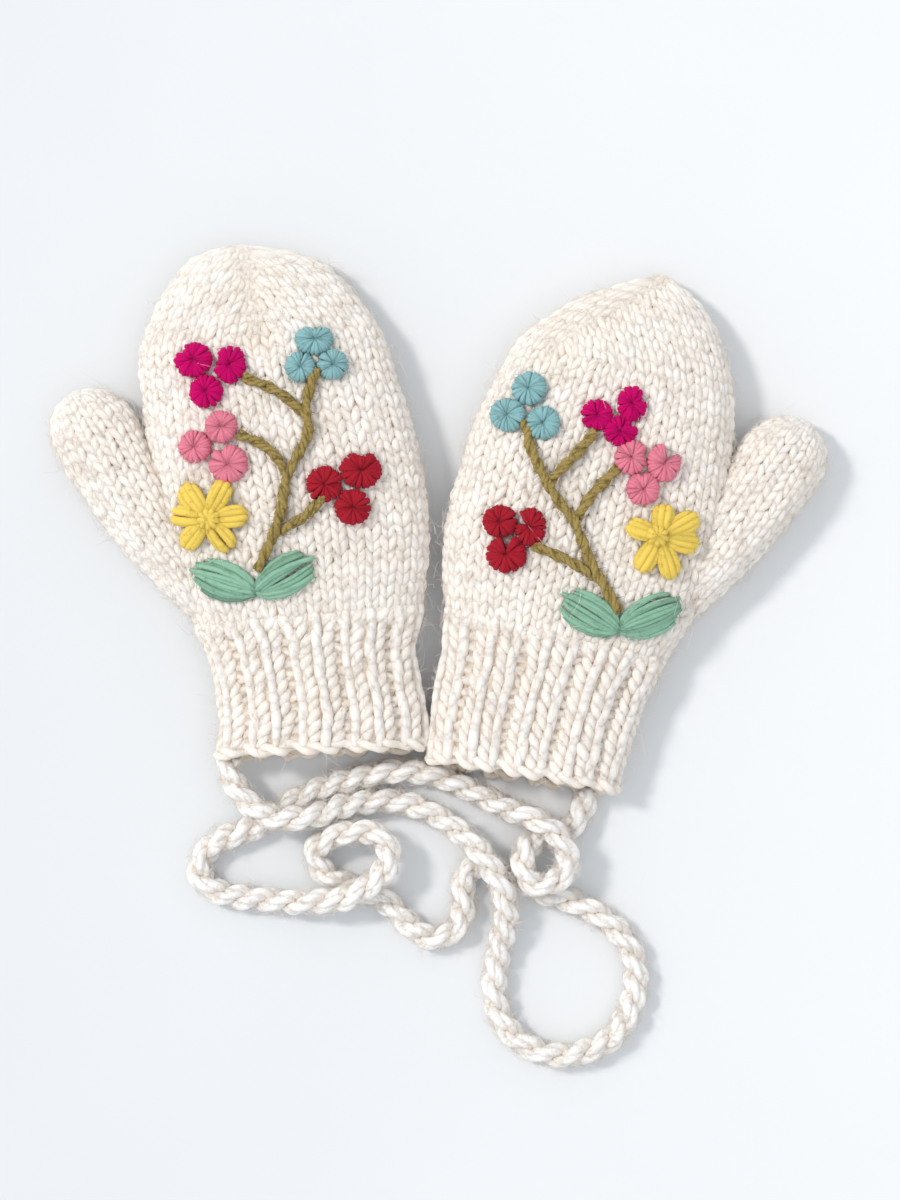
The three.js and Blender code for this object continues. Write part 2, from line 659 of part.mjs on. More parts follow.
function mittenGroup(prefix, side, hand, cuff, embroidery, lie) {
  const group = new THREE.Group();
  for (const [name, [solid, material]] of Object.entries(mittenPieces(hand, cuff, embroidery, lie))) {
    group.add(pieceMesh(`${prefix}_${name}`, solid.scale([side, 1, 1]), material));
  }
  group.rotation.z = THREE.MathUtils.degToRad(lie.turn);
  group.position.y = lie.cuffAlong;
  return group;
}

// The far side of a mitten as it lies, from the mouth of its cuff to the fingertips
function farEdge(group, side, cuff, hand) {
  const rows = handSections(hand);
  return [...cuffSections(cuff, rows[0]), ...rows.slice(1)].map(({ right, y }) => (
    new THREE.Vector3(side * right, y, 0).applyEuler(group.rotation).add(group.position)));
}

function edgeAcross(edge, y) {
  const after = THREE.MathUtils.clamp(edge.findIndex((p) => p.y > y), 1, edge.length - 1);
  const [a, b] = [edge[after - 1], edge[after]];
  return THREE.MathUtils.mapLinear(y, a.y, b.y, a.x, b.x);
}

function closestGap(leftEdge, rightEdge) {
  return Math.min(...leftEdge.slice(0, -2).map((p) => edgeAcross(rightEdge, p.y) - p.x),
    ...rightEdge.slice(0, -2).map((p) => p.x - edgeAcross(leftEdge, p.y)));
}

// Where the cord leaves a cuff: a point at the rim of its mouth, and one straight out from it
function cordStart(group, side, cuff, hand, lie) {
  const mouth = cuffSections(cuff, handSections(hand)[0])[0];
  const [across, height] = lie.cordExit;
  const x = across * mouth.left;
  const z = height * cuffHeight;
  const atRim = mouth.y + mouthOffset(mouth, x, z - cordDiameter / 2) - 1.5 * clearance;
  return [atRim, atRim - cordRun].map((y) => new THREE.Vector3(side * x, y, z)
    .applyEuler(group.rotation).add(group.position));
}

const pair = new THREE.Group();
const left = mittenGroup('left', 1, leftHand, leftCuff, leftEmbroidery, leftLie);
const right = mittenGroup('right', -1, rightHand, rightCuff, rightEmbroidery, rightLie);
left.position.x = -36.3;
right.position.x += mittenGap - closestGap(farEdge(left, 1, leftCuff, leftHand),
  farEdge(right, -1, rightCuff, rightHand));
pair.add(left, right);

const routeHeight = cordDiameter / 2 + 0.25;
const route = cordRoute.map(([x, y, lift]) => new THREE.Vector3(x, y, routeHeight + lift * cordHump));
route.unshift(...cordStart(left, 1, leftCuff, leftHand, leftLie));
route.push(...cordStart(right, -1, rightCuff, rightHand, rightLie).toReversed());
const cordSolid = tubeSolid(route, cordDiameter / 2, cordSides, cordSteps);

const box = new THREE.Box3().setFromObject(pair, true);
const centre = box.getCenter(new THREE.Vector3());
pair.add(pieceMesh('cord', cordSolid, wool));
pair.position.set(-centre.x, -centre.y, 0);

export default pair;
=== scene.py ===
"""A pair of child's knitted wool mittens on one twisted cord, with flowers sewn on their backs."""

import json
import math

import bpy
import numpy as np
from bpy.props import FloatProperty, FloatVectorProperty, IntProperty, PointerProperty
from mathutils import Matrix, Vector


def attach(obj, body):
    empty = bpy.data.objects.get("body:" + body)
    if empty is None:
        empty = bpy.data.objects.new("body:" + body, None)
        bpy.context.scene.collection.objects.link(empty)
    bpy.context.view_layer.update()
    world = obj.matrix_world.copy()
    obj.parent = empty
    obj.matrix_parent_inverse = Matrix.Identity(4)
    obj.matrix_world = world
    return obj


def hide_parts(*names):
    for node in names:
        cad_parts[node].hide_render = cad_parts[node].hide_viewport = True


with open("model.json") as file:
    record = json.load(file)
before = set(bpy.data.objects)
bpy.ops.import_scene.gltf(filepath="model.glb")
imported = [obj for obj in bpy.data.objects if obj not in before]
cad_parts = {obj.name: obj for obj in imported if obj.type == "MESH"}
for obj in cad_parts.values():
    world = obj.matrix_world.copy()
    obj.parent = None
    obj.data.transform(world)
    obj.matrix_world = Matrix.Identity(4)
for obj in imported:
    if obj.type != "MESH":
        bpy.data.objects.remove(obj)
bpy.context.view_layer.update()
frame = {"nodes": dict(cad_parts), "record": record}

bl_info = {
    "name": "Embroidered Wool Mittens",
    "version": (1, 0, 0),
    "blender": (4, 5, 0),
    "location": "3D View > Sidebar > Mittens",
    "description": "Knits a pair of embroidered mittens on a twisted cord",
    "category": "Add Mesh",
}

# ---------------------------------------------------------------- sizes, in millimetres

CUFF_LENGTH = 44.0
CUFF_HALF_WIDTH = 32.5
CUFF_HEIGHT = 18.0
HAND_LENGTH = 118.0
HAND_HALF_WIDTH = 44.0
HAND_HEIGHT = 24.0
THUMB_LENGTH = 80.0
THUMB_HALF_WIDTH = 14.0
THUMB_HEIGHT = 18.0
SEAM_GAP = 0.3
KNIT_WALL = 3.6
PALM_REST = 95.0               # from the cuff's mouth to the middle of the palm
WIDEST_SHARE = 0.42
DOME_POWER = 2.6
DOME_ROOT = 2.2
FLOOR_FLATNESS = 1.18
RIB_DEPTH = 1.6
MOUTH_SLANT = 2.0
MOUTH_RISE = 3.4
PUCKER_DEPTH = 1.4
PUCKER_WIDTH = 6.0
KNOT_RADIUS = 5.0
PETAL_LENGTH = 12.6
LEAF_LENGTH = 20.0
LEAF_HALF_WIDTH = 6.6
CORD_HUMP = 7.4                # gained where the cord lies on itself
CORD_REST = 3.75
CORD_RUN = 6.0                 # straight stretch out of each cuff
SAMPLES = 8                    # surface columns in one stitch

# Hand outlines: share of its length, thumb side, far side, top, floor
LEFT_HAND = [
    (0.000, 0.818, 0.800, 0.83, 0.00), (0.100, 0.898, 0.864, 0.92, 0.00),
    (0.218, 0.943, 0.900, 0.98, 0.00), (0.362, 0.995, 0.886, 1.00, 0.00),
    (0.508, 1.045, 0.830, 1.00, 0.00), (0.627, 1.045, 0.750, 0.98, 0.00),
    (0.737, 1.036, 0.682, 0.92, 0.00), (0.818, 0.943, 0.555, 0.84, 0.01),
    (0.894, 0.818, 0.409, 0.72, 0.05), (0.949, 0.682, 0.227, 0.60, 0.10),
    (0.983, 0.568, -0.010, 0.49, 0.15), (1.000, 0.455, -0.220, 0.39, 0.20),
]
RIGHT_HAND = [
    (0.000, 0.780, 0.820, 0.83, 0.00), (0.100, 0.880, 0.905, 0.92, 0.00),
    (0.218, 0.950, 0.960, 0.98, 0.00), (0.362, 0.960, 0.955, 1.00, 0.00),
    (0.508, 0.920, 0.925, 1.00, 0.00), (0.627, 0.876, 0.850, 0.98, 0.00),
    (0.737, 0.800, 0.760, 0.92, 0.00), (0.818, 0.705, 0.590, 0.84, 0.01),
    (0.894, 0.565, 0.365, 0.72, 0.05), (0.945, 0.425, 0.160, 0.60, 0.10),
    (0.974, 0.320, 0.040, 0.49, 0.15), (1.000, 0.220, -0.040, 0.39, 0.20),
]
# Cuff outlines: share of its length, thumb side, far side, top
LEFT_CUFF = [
    (0.04, 0.994, 1.000, 1.00), (0.27, 0.938, 1.015, 1.00), (0.50, 0.935, 0.978, 1.00),
    (0.70, 0.960, 0.960, 1.02), (0.86, 1.015, 1.025, 1.07),
]
RIGHT_CUFF = [
    (-0.03, 0.890, 0.915, 1.00), (0.27, 0.895, 0.985, 1.00), (0.50, 0.923, 1.015, 1.00),
    (0.70, 0.948, 1.022, 1.02), (0.86, 1.000, 1.065, 1.07),
]
# Thumb outline: share of its length, outer side, inner side, top, floor
THUMB = [
    (0.00, 0.45, 0.45, 0.85, 0.00), (0.15, 0.72, 0.58, 0.92, 0.00), (0.30, 0.95, 0.62, 0.97, 0.00),
    (0.46, 1.12, 0.62, 1.00, 0.00), (0.62, 1.21, 0.66, 1.00, 0.00), (0.77, 1.26, 0.70, 0.98, 0.00),
    (0.88, 1.20, 0.60, 0.90, 0.01), (0.95, 1.00, 0.36, 0.79, 0.06), (1.00, 0.68, 0.04, 0.64, 0.16),
]
LEAF = [(0.03, 0.26), (0.16, 0.66), (0.38, 0.98), (0.64, 1.02), (0.87, 0.84), (1.00, 0.58)]

# Flowers: colour, middle across and along, then three knots each: across, along, radius
LEFT_FLOWERS = [
    ("magenta", -0.533, 0.660, [(-0.94, 0.82, 1.00), (1.26, 0.32, 1.00), (-0.32, -1.18, 0.96)]),
    ("teal", 0.206, 0.674, [(0.00, 1.08, 0.92), (-0.98, -0.52, 0.88), (0.98, -0.54, 0.88)]),
    ("pink", -0.540, 0.468, [(0.48, 1.12, 0.93), (-1.22, 0.06, 0.93), (0.72, -1.18, 1.08)]),
    ("red", 0.339, 0.331, [(0.98, 0.96, 1.09), (-1.28, 0.28, 1.04), (0.30, -1.26, 1.04)]),
]
RIGHT_FLOWERS = [
    ("magenta", -0.033, 0.594, [(1.18, -0.18, 0.92), (-0.44, -0.80, 0.90), (-0.74, 0.98, 0.90)]),
    ("teal", 0.580, 0.559, [(0.16, 1.24, 0.97), (1.02, -0.62, 0.97), (-1.12, -0.60, 0.97)]),
    ("pink", -0.318, 0.478, [(1.04, 0.50, 0.97), (-0.96, 0.66, 0.97), (-0.08, -1.16, 0.97)]),
    ("red", 0.472, 0.235, [(0.98, 0.56, 0.90), (-0.90, 0.66, 0.90), (0.12, -1.28, 1.06)]),
]
# Knots that aren't round: width, height, angle and depth of a notch, angle and half width of a gap
LEFT_SHAPES = {
    "magenta_1": (1.12, 1.02, 140, 0.45, 0, 0), "magenta_2": (0.92, 1.10, 160, 0.35, 0, 0),
    "teal_1": (1.22, 0.92, 95, 0.40, 0, 0), "pink_3": (1.06, 1.00, 115, 0.25, 0, 0),
    "red_1": (1.12, 0.98, 88, 0.35, 0, 0),
}
RIGHT_SHAPES = {
    "magenta_2": (1.12, 1.00, 30, 0.35, 0, 0), "magenta_3": (0.96, 1.18, 20, 0.45, 0, 0),
    "pink_1": (1.0, 1.05, 5, 0.35, 0, 0), "pink_2": (1.0, 1.12, 0, 0, 58, 26),
    "pink_3": (0.98, 1.02, 92, 0.35, 0, 0), "red_1": (1.1, 1.05, 0, 0, 0, 0),
    "red_2": (1.02, 1.26, 0, 0, 158, 20), "red_3": (1.12, 1.02, 0, 0, 88, 24),
}
LEFT_PETALS = [(120, 1.05), (59, 1.07), (2, 1.00), (-58, 0.96), (-134, 0.92), (166, 0.90)]
RIGHT_PETALS = [(86, 0.82), (138, 1.10), (176, 1.00), (-120, 1.10), (-73, 1.00), (7, 0.84)]
LEFT_STEMS = [
    [(-0.325, 0.136), (-0.209, 0.208), (-0.120, 0.285), (-0.066, 0.370), (0.057, 0.440),
     (0.116, 0.486), (0.105, 0.539), (0.141, 0.588), (0.206, 0.645)],
    [(0.082, 0.535), (-0.084, 0.595), (-0.300, 0.637)],
    [(-0.061, 0.380), (-0.175, 0.447), (-0.370, 0.491)],
    [(-0.140, 0.233), (0.036, 0.264), (0.190, 0.312)],
]
RIGHT_STEMS = [
    [(-0.368, 0.103), (-0.202, 0.167), (-0.084, 0.215), (0.023, 0.271), (0.100, 0.310),
     (0.223, 0.345), (0.368, 0.402), (0.495, 0.464), (0.575, 0.530)],
    [(0.318, 0.390), (0.198, 0.464), (0.085, 0.545)],
    [(0.073, 0.315), (0.002, 0.384), (-0.120, 0.462)],
    [(-0.140, 0.178), (0.066, 0.202), (0.320, 0.218)],
]

LEFT = {
    "name": "left", "side": 1, "turn": 5.0, "hand": LEFT_HAND, "cuff": LEFT_CUFF,
    "lean": 24.5, "thumb_root": (-0.705, 0.045), "pucker": ((-0.19, 0.74), (-0.22, 1.00)), "tip": 1.6,
    "cord": (0.89, 0.42), "flowers": LEFT_FLOWERS, "shapes": LEFT_SHAPES, "petals": LEFT_PETALS,
    "daisy": (-0.634, 0.280), "leaf_root": (-0.350, 0.080), "leaves": (24, 155),
    "stems": LEFT_STEMS, "seed": 11,
}
RIGHT = {
    "name": "right", "side": -1, "turn": -13.5, "hand": RIGHT_HAND, "cuff": RIGHT_CUFF,
    "lean": 20.5, "thumb_root": (-0.645, 0.085), "pucker": ((0.53, 0.71), (-0.13, 0.98)), "tip": 3.4,
    "cord": (0.70, 0.21), "flowers": RIGHT_FLOWERS, "shapes": RIGHT_SHAPES,
    "petals": RIGHT_PETALS, "daisy": (-0.514, 0.317), "leaf_root": (-0.398, 0.056),
    "leaves": (16, 142), "stems": RIGHT_STEMS, "seed": 23,
}
PAIR = (LEFT, RIGHT)

# The cord between the two cuffs: across, along, lift in cord diameters
CORD_ROUTE = [
    (-58.3, -89.6, 0.9), (-51.2, -93.3, 1.0), (-40.6, -93.3, 1.0), (-29.1, -90.0, 0.4),
    (-15.2, -88.7, 0.0), (-4.3, -91.5, 0.0), (5.9, -97.7, 0.5), (13.6, -105.4, 1.0),
    (19.2, -114.4, 1.0), (20.8, -124.6, 0.5), (18.3, -137.6, 0.0), (17.4, -150.0, 0.0),
    (22.3, -160.9, 0.0), (32.2, -167.1, 0.0), (44.3, -167.4, 0.0), (54.6, -161.5, 0.0),
    (60.8, -150.0, 0.0), (60.5, -137.0, 0.0), (53.3, -126.8, 0.0), (42.5, -120.6, 0.0),
    (32.2, -116.9, 0.0), (22.6, -112.2, 0.0), (14.0, -108.5, 0.0), (7.8, -112.2, 0.0),
    (7.8, -120.3, 0.0), (5.9, -127.7, 0.0), (-1.6, -131.4, 0.0), (-9.6, -127.1, 0.0),
    (-15.8, -120.6, 0.0), (-25.1, -115.6, 0.0), (-34.4, -112.5, 0.0), (-38.8, -105.7, 0.1),
    (-35.2, -100.4, 0.4), (-27.0, -98.2, 0.7), (-18.9, -98.9, 0.9), (-15.5, -105.4, 1.0),
    (-19.5, -112.8, 1.0), (-29.1, -118.4, 0.9), (-41.2, -120.0, 0.4), (-57.0, -119.0, 0.0),
    (-69.8, -116.6, 0.0), (-75.0, -110.4, 0.0), (-71.3, -102.9, 0.0), (-61.7, -98.6, 0.0),
    (-51.5, -93.3, 0.0), (-43.1, -87.7, 0.0), (-30.7, -83.1, 0.0), (-16.7, -79.7, 0.0),
    (-3.4, -80.0, 0.0), (9.0, -84.9, 0.0), (20.5, -90.5, 0.5), (30.1, -94.2, 1.0),
    (37.5, -99.8, 1.0), (40.0, -107.3, 0.9), (35.3, -113.8, 1.0), (28.5, -113.5, 1.0),
    (25.7, -107.0, 0.95), (29.5, -101.1, 0.3), (36.9, -99.2, 0.0), (42.8, -95.5, 0.1),
]
LEFT_CUFF_AT = (-36.3, -75.3)  # where the left cuff lies in the cord route's own frame


# ---------------------------------------------------------------- curves and places

def unit(vectors):
    return vectors / np.maximum(np.linalg.norm(vectors, axis=-1, keepdims=True), 1e-9)


def smooth_rows(x, table):
    """The columns of a table at x, on a smooth curve through its rows."""
    table = np.asarray(table, float)
    xs, ys = table[:, 0], table[:, 1:]
    slopes = np.gradient(ys, xs, axis=0)
    x = np.clip(x, xs[0], xs[-1])
    i = np.clip(np.searchsorted(xs, x, side="right") - 1, 0, len(xs) - 2)
    width = (xs[i + 1] - xs[i])[..., None]
    t = (x - xs[i])[..., None] / width
    value = (1 + 2 * t) * (1 - t) ** 2 * ys[i] + t * t * (3 - 2 * t) * ys[i + 1]
    value += t * (1 - t) ** 2 * width * slopes[i] - t * t * (1 - t) * width * slopes[i + 1]
    return np.moveaxis(value, -1, 0)


def smooth_line(points, steps):
    """A rounded line through points, with as many steps between each two."""
    points = np.asarray(points, float)
    points = np.vstack([2 * points[0] - points[1], points, 2 * points[-1] - points[-2]])
    gaps = np.maximum(np.linalg.norm(np.diff(points, axis=0), axis=1) ** 0.5, 1e-6)
    out = []
    for k in range(len(points) - 3):
        p0, p1, p2, p3 = points[k:k + 4]
        d0, d1, d2 = gaps[k:k + 3]
        t1 = ((p1 - p0) / d0 - (p2 - p0) / (d0 + d1) + (p2 - p1) / d1) * d1
        t2 = ((p2 - p1) / d1 - (p3 - p1) / (d1 + d2) + (p3 - p2) / d2) * d1
        t = np.arange(steps)[:, None] / steps
        out.append(p1 + t1 * t + (3 * (p2 - p1) - 2 * t1 - t2) * t ** 2
                   + (2 * (p1 - p2) + t1 + t2) * t ** 3)
    return np.vstack([*out, points[-2:-1]])


def evenly(line, step):
    """The same line with its points a step apart."""
    run = np.concatenate([[0], np.cumsum(np.linalg.norm(np.diff(line, axis=0), axis=1))])
    want = np.linspace(0, run[-1], max(2, int(round(run[-1] / step)) + 1))
    return np.column_stack([np.interp(want, run, line[:, k]) for k in range(line.shape[1])])


def turned(points, degrees):
    c, s = math.cos(math.radians(degrees)), math.sin(math.radians(degrees))
    out = np.array(points, float)
    out[..., 0], out[..., 1] = (c * points[..., 0] - s * points[..., 1],
                                s * points[..., 0] + c * points[..., 1])
    return out


def origin_of(mitten):
    """Where the middle of a mitten's cuff mouth lies, from the place of its palm rest."""
    name = mitten["name"] + "_palm_rest"
    rest = next(m for m in frame["record"]["mounts"] if m["name"] == name)["pos_m"]
    palm = turned(np.array([0.0, PALM_REST]), mitten["turn"])
    return np.array([rest[0] * 1000 - palm[0], rest[1] * 1000 - palm[1], 0.0])


def placed(mitten, points):
    """Moves points from a mitten's own frame to where it lies."""
    points = np.array(points, float)
    points[..., 0] *= mitten["side"]
    return turned(points, mitten["turn"]) + origin_of(mitten)


def own_frame(mitten, points):
    """Moves points from where a mitten lies to its own frame."""
    points = turned(points - origin_of(mitten), -mitten["turn"])
    points[..., 0] *= mitten["side"]
    return points


def off_thumb(mitten, points):
    """Moves points from the mitten's frame to the thumb's own."""
    root = np.array([mitten["thumb_root"][0] * HAND_HALF_WIDTH,
                     CUFF_LENGTH + mitten["thumb_root"][1] * HAND_LENGTH, 0.0])
    return turned(points - root, -mitten["lean"])


def on_thumb(mitten, points):
    """Moves points from the thumb's own frame to the mitten's."""
    root = np.array([mitten["thumb_root"][0] * HAND_HALF_WIDTH,
                     CUFF_LENGTH + mitten["thumb_root"][1] * HAND_LENGTH, 0.0])
    return turned(points, mitten["lean"]) + root


# ---------------------------------------------------------------- the mitten's surface

def dome(t):
    return np.clip(1 - np.abs(t) ** DOME_POWER, 0, None) ** (1 / DOME_ROOT)


def section_rings(left, right, top, floor, half_count):
    """Points at even steps over the top of each cross-section and back under it."""
    t = -np.cos(np.linspace(0, np.pi, 181))
    arch = dome(t)
    rings = np.empty((len(left), 2 * half_count, 2))
    for r, (a, b, high, low) in enumerate(zip(left, right, top, floor)):
        level = low + WIDEST_SHARE * (high - low)
        over = level + (high - level) * arch
        under = level - (level - low) * np.minimum(1, FLOOR_FLATNESS * arch)
        for k, (x, z) in enumerate([(t, over), (-t, under)]):
            x = (a + b) / 2 + (b - a) / 2 * x
            run = np.concatenate([[0], np.cumsum(np.hypot(np.diff(x), np.diff(z)))])
            want = run[-1] * np.arange(half_count) / half_count
            part = slice(k * half_count, (k + 1) * half_count)
            rings[r, part, 0] = np.interp(want, run, x)
            rings[r, part, 1] = np.interp(want, run, z)
    return rings


def pucker(mitten, x, y):
    """How deep the closing of the fingertips pulls the knitting in."""
    scale = np.array([HAND_HALF_WIDTH, HAND_LENGTH])
    start, end = (np.array(p) * scale + [0, CUFF_LENGTH] for p in mitten["pucker"])
    line = end - start
    share = np.clip(((x - start[0]) * line[0] + (y - start[1]) * line[1]) / (line @ line), 0, 1)
    away = np.hypot(x - start[0] - share * line[0], y - start[1] - share * line[1])
    return 1.25 * PUCKER_DEPTH * np.exp(-(away / PUCKER_WIDTH) ** 2)


def unevenness(mitten, x, y):
    """Low waves of hand knitting."""
    s = mitten["seed"]
    return (0.22 * np.sin(x / 7.3 + s) * np.sin(y / 9.1 + 2.0 * s)
            + 0.20 * np.sin(x / 13.0 - y / 17.0 + s) + 0.12 * np.sin(x / 4.1 + y / 5.7 + 3.0 * s))


def hand_outline(mitten, y):
    start = CUFF_LENGTH + SEAM_GAP
    share = (y - start) / (CUFF_LENGTH + HAND_LENGTH - start)
    thumb_side, far_side, top, floor = smooth_rows(share, mitten["hand"])
    return (-thumb_side * HAND_HALF_WIDTH, far_side * HAND_HALF_WIDTH,
            top * HAND_HEIGHT, floor * HAND_HEIGHT)


def back_of_hand(mitten, x, y):
    """Height of the back of the hand."""
    x, y = np.asarray(x, float), np.asarray(y, float)
    left, right, top, floor = hand_outline(mitten, y)
    level = floor + WIDEST_SHARE * (top - floor)
    z = level + (top - level) * dome((x - (left + right) / 2) / ((right - left) / 2))
    return z - pucker(mitten, x, y) + unevenness(mitten, x, y) * z / top


def on_back(mitten, flat):
    """Lifts points (across, along, height over the knitting) on to the back of the hand."""
    x, y, height = flat[..., 0], flat[..., 1], flat[..., 2]
    slope_x = back_of_hand(mitten, x + 1.5, y) - back_of_hand(mitten, x - 1.5, y)
    slope_y = back_of_hand(mitten, x, y + 1.5) - back_of_hand(mitten, x, y - 1.5)
    normal = unit(np.stack([-slope_x, -slope_y, np.full_like(x, 3.0)], axis=-1))
    foot = np.stack([x, y, back_of_hand(mitten, x, y)], axis=-1)
    return foot + normal * height[..., None], normal


class Surface:
    """Points over the outside of a knitted tube, in rows along it and columns round it."""

    def __init__(self, points):
        self.points = points
        along = np.gradient(points, axis=0)
        around = np.roll(points, -1, axis=1) - np.roll(points, 1, axis=1)
        self.normals = unit(np.cross(around, along))
        self.rows, self.columns = points.shape[:2]
        self.half = self.columns // 2
        closed = np.concatenate([points, points[:, :1]], axis=1)
        step = np.linalg.norm(np.diff(closed, axis=1), axis=2)
        self.over = step[:, :self.half].sum(axis=1)
        self.under = step[:, self.half:].sum(axis=1)
        crest = points[:, self.half // 2]
        run = np.linalg.norm(np.diff(crest, axis=0), axis=1)
        self.run = np.concatenate([[0], np.cumsum(run)])

    def at(self, row, column, out):
        """A point a distance out from a place between rows and columns, and its outward direction."""
        row = np.clip(row, 0, self.rows - 1.001)
        r, c = np.floor(row).astype(int), np.floor(column).astype(int)
        down, across = (row - r)[..., None], (column - c)[..., None]
        c0, c1 = c % self.columns, (c + 1) % self.columns

        def mixed(grid):
            near = grid[r, c0] * (1 - across) + grid[r, c1] * across
            far = grid[r + 1, c0] * (1 - across) + grid[r + 1, c1] * across
            return near * (1 - down) + far * down

        normal = unit(mixed(self.normals))
        return mixed(self.points) + out[..., None] * normal, normal

    def row_at(self, distance):
        return np.interp(distance, self.run, np.arange(self.rows))


def rounded_end(y, last, reach, left, right, top, floor):
    """Draws the outline together over its last millimetres."""
    q = np.clip((y - (last - reach)) / reach, 0, 1)
    shrink = np.sqrt(1 - (0.97 * q) ** 2)
    middle, level = (left + right) / 2, floor + WIDEST_SHARE * (top - floor)
    return (middle + (left - middle) * shrink, middle + (right - middle) * shrink,
            level + (top - level) * shrink, level + (floor - level) * shrink)


def hand_surface(mitten):
    last = CUFF_LENGTH + HAND_LENGTH
    reach = 5.0
    y = np.append(np.arange(CUFF_LENGTH - 5.0, last - reach, 1.0),
                  last - reach + reach * np.sin(np.linspace(0, 1.5, 10)))
    outline = rounded_end(y, last, reach, *hand_outline(mitten, y))
    rings = section_rings(*outline, 18 * SAMPLES)
    x, z = rings[..., 0], rings[..., 1]
    rows = np.broadcast_to(y[:, None], x.shape)
    upper = np.arange(x.shape[1]) < x.shape[1] // 2
    share = z / outline[2][:, None]
    z = z + np.where(upper, (unevenness(mitten, x, rows) - pucker(mitten, x, rows)) * share, 0)
    z = np.maximum(z, 0.0)
    return Surface(np.stack([x, rows, z], axis=-1))


def thumb_surface(mitten):
    reach = 5.0
    y = np.append(np.arange(0, THUMB_LENGTH - reach, 1.0),
                  THUMB_LENGTH - reach + reach * np.sin(np.linspace(0, 1.5, 10)))
    outer, inner, top, floor = smooth_rows(y / THUMB_LENGTH, THUMB)
    outline = rounded_end(y, THUMB_LENGTH, reach, -outer * THUMB_HALF_WIDTH,
                          inner * THUMB_HALF_WIDTH, top * THUMB_HEIGHT, floor * THUMB_HEIGHT)
    rings = section_rings(*outline, 8 * SAMPLES)
    rows = np.broadcast_to(y[:, None], rings.shape[:2])
    points = np.stack([rings[..., 0], rows, rings[..., 1]], axis=-1)
    points[..., 2] += unevenness(mitten, points[..., 0] + 9, rows) * points[..., 2] / THUMB_HEIGHT
    return Surface(on_thumb(mitten, points))


def rib_profile(wale):
    """1 on the two knit stitches of a rib, and below -1 in the valley of purl ones."""
    valley = np.abs((wale - 1.0) % 4 - 2)
    middle = np.abs((wale + 1.0) % 4 - 2)
    return 1 - 2.5 * np.exp(-(valley / 0.55) ** 2) - 0.35 * np.exp(-(middle / 0.3) ** 2)


def cuff_surface(mitten, out=0.0):
    first = hand_outline(mitten, np.array([CUFF_LENGTH + SEAM_GAP]))
    last = (1.0, -first[0][0] / CUFF_HALF_WIDTH, first[1][0] / CUFF_HALF_WIDTH,
            first[2][0] / CUFF_HEIGHT)
    table = [*mitten["cuff"], last]
    share = np.linspace(table[0][0], 1.02, 48)
    thumb_side, far_side, top = smooth_rows(share, table)
    left, right = -thumb_side * CUFF_HALF_WIDTH - out, far_side * CUFF_HALF_WIDTH + out
    top = top * CUFF_HEIGHT + out
    rings = section_rings(left, right, top, np.full_like(top, -out), 18 * SAMPLES)
    base = Surface(np.stack([rings[..., 0], np.broadcast_to(share[:, None] * CUFF_LENGTH,
                                                            rings.shape[:2]), rings[..., 1]], -1))
    wale = np.arange(base.columns) / SAMPLES
    depth = RIB_DEPTH / 2 * np.where(share < 0.85, 1, 1 - 0.7 * (share - 0.85) / 0.15)
    push = depth[:, None] * rib_profile(wale)[None, :]
    points = base.points + push[..., None] * base.normals
    points[..., 2] += depth[:, None]
    mouth = (1 - share[:, None]) ** 4
    across = (right[:, None] - points[..., 0]) / (right - left)[:, None] - 0.5
    points[..., 1] += mouth * (MOUTH_SLANT * points[..., 2] / top[:, None] + MOUTH_RISE * across)
    return Surface(points)


# ---------------------------------------------------------------- yarn

def tubes(paths, facing, radii, sides=6, tone=None, flat=1.0):
    """Round yarns along paths of as many points each: points, faces, winding and tone, with the tone
    darker on each yarn's side towards the surface as painted shade.
    """
    paths = np.asarray(paths, float)
    count, length = paths.shape[:2]
    radii = np.broadcast_to(radii, (count, length))
    tone = np.broadcast_to(1.0 if tone is None else tone, (count, length))
    tangent = unit(np.gradient(paths, axis=1))
    side = unit(np.cross(tangent, facing))
    up = np.cross(side, tangent)
    angle = 2 * np.pi * (np.arange(sides) + 0.5) / sides
    ring = (np.cos(angle)[:, None] * side[:, :, None] + flat * np.sin(angle)[:, None]
            * up[:, :, None])
    points = paths[:, :, None] + radii[..., None, None] * ring
    index = np.arange(count * length * sides).reshape(count, length, sides)
    after = np.roll(index, -1, axis=2)
    faces = np.stack([index[:, :-1], index[:, 1:], after[:, 1:], after[:, :-1]], axis=-1)
    along = np.linalg.norm(np.diff(paths, axis=1), axis=2).cumsum(axis=1)
    along = np.concatenate([np.zeros((count, 1)), along], axis=1)
    along += 37.0 * np.arange(count)[:, None]
    low, high = along[:, :-1, None], along[:, 1:, None]
    u = np.stack(np.broadcast_arrays(low, high, high, low), axis=-1)
    u = np.broadcast_to(u, faces.shape)
    v0 = np.arange(sides) / sides
    v = np.broadcast_to(np.stack([v0, v0, v0 + 1 / sides, v0 + 1 / sides], axis=-1), faces.shape)
    winding = np.stack([u, v], axis=-1).reshape(-1, 4, 2)
    faces = faces.reshape(-1, 4)
    caps, cap_u = [], []
    for ring_index, order in ((index[:, 0], 1), (index[:, -1], -1)):
        ends = along[:, 0] if order == 1 else along[:, -1]
        for k in range(1, sides - 2, 2):
            quad = ring_index[:, [0, k, k + 1, k + 2 if k + 2 < sides else k + 1]]
            caps.append(quad[:, ::order])
            cap_u.append(np.stack([np.repeat(ends[:, None], 4, axis=1),
                                   np.full((count, 4), 0.5)], axis=-1))
    # painted shade: each yarn is darker on the side that faces the surface it lies on
    under = 0.72 + 0.28 * np.sin(angle)
    shade = tone[..., None] * under
    return (points.reshape(-1, 3), np.vstack([faces, *caps]),
            np.vstack([winding, *cap_u]), shade.reshape(-1))


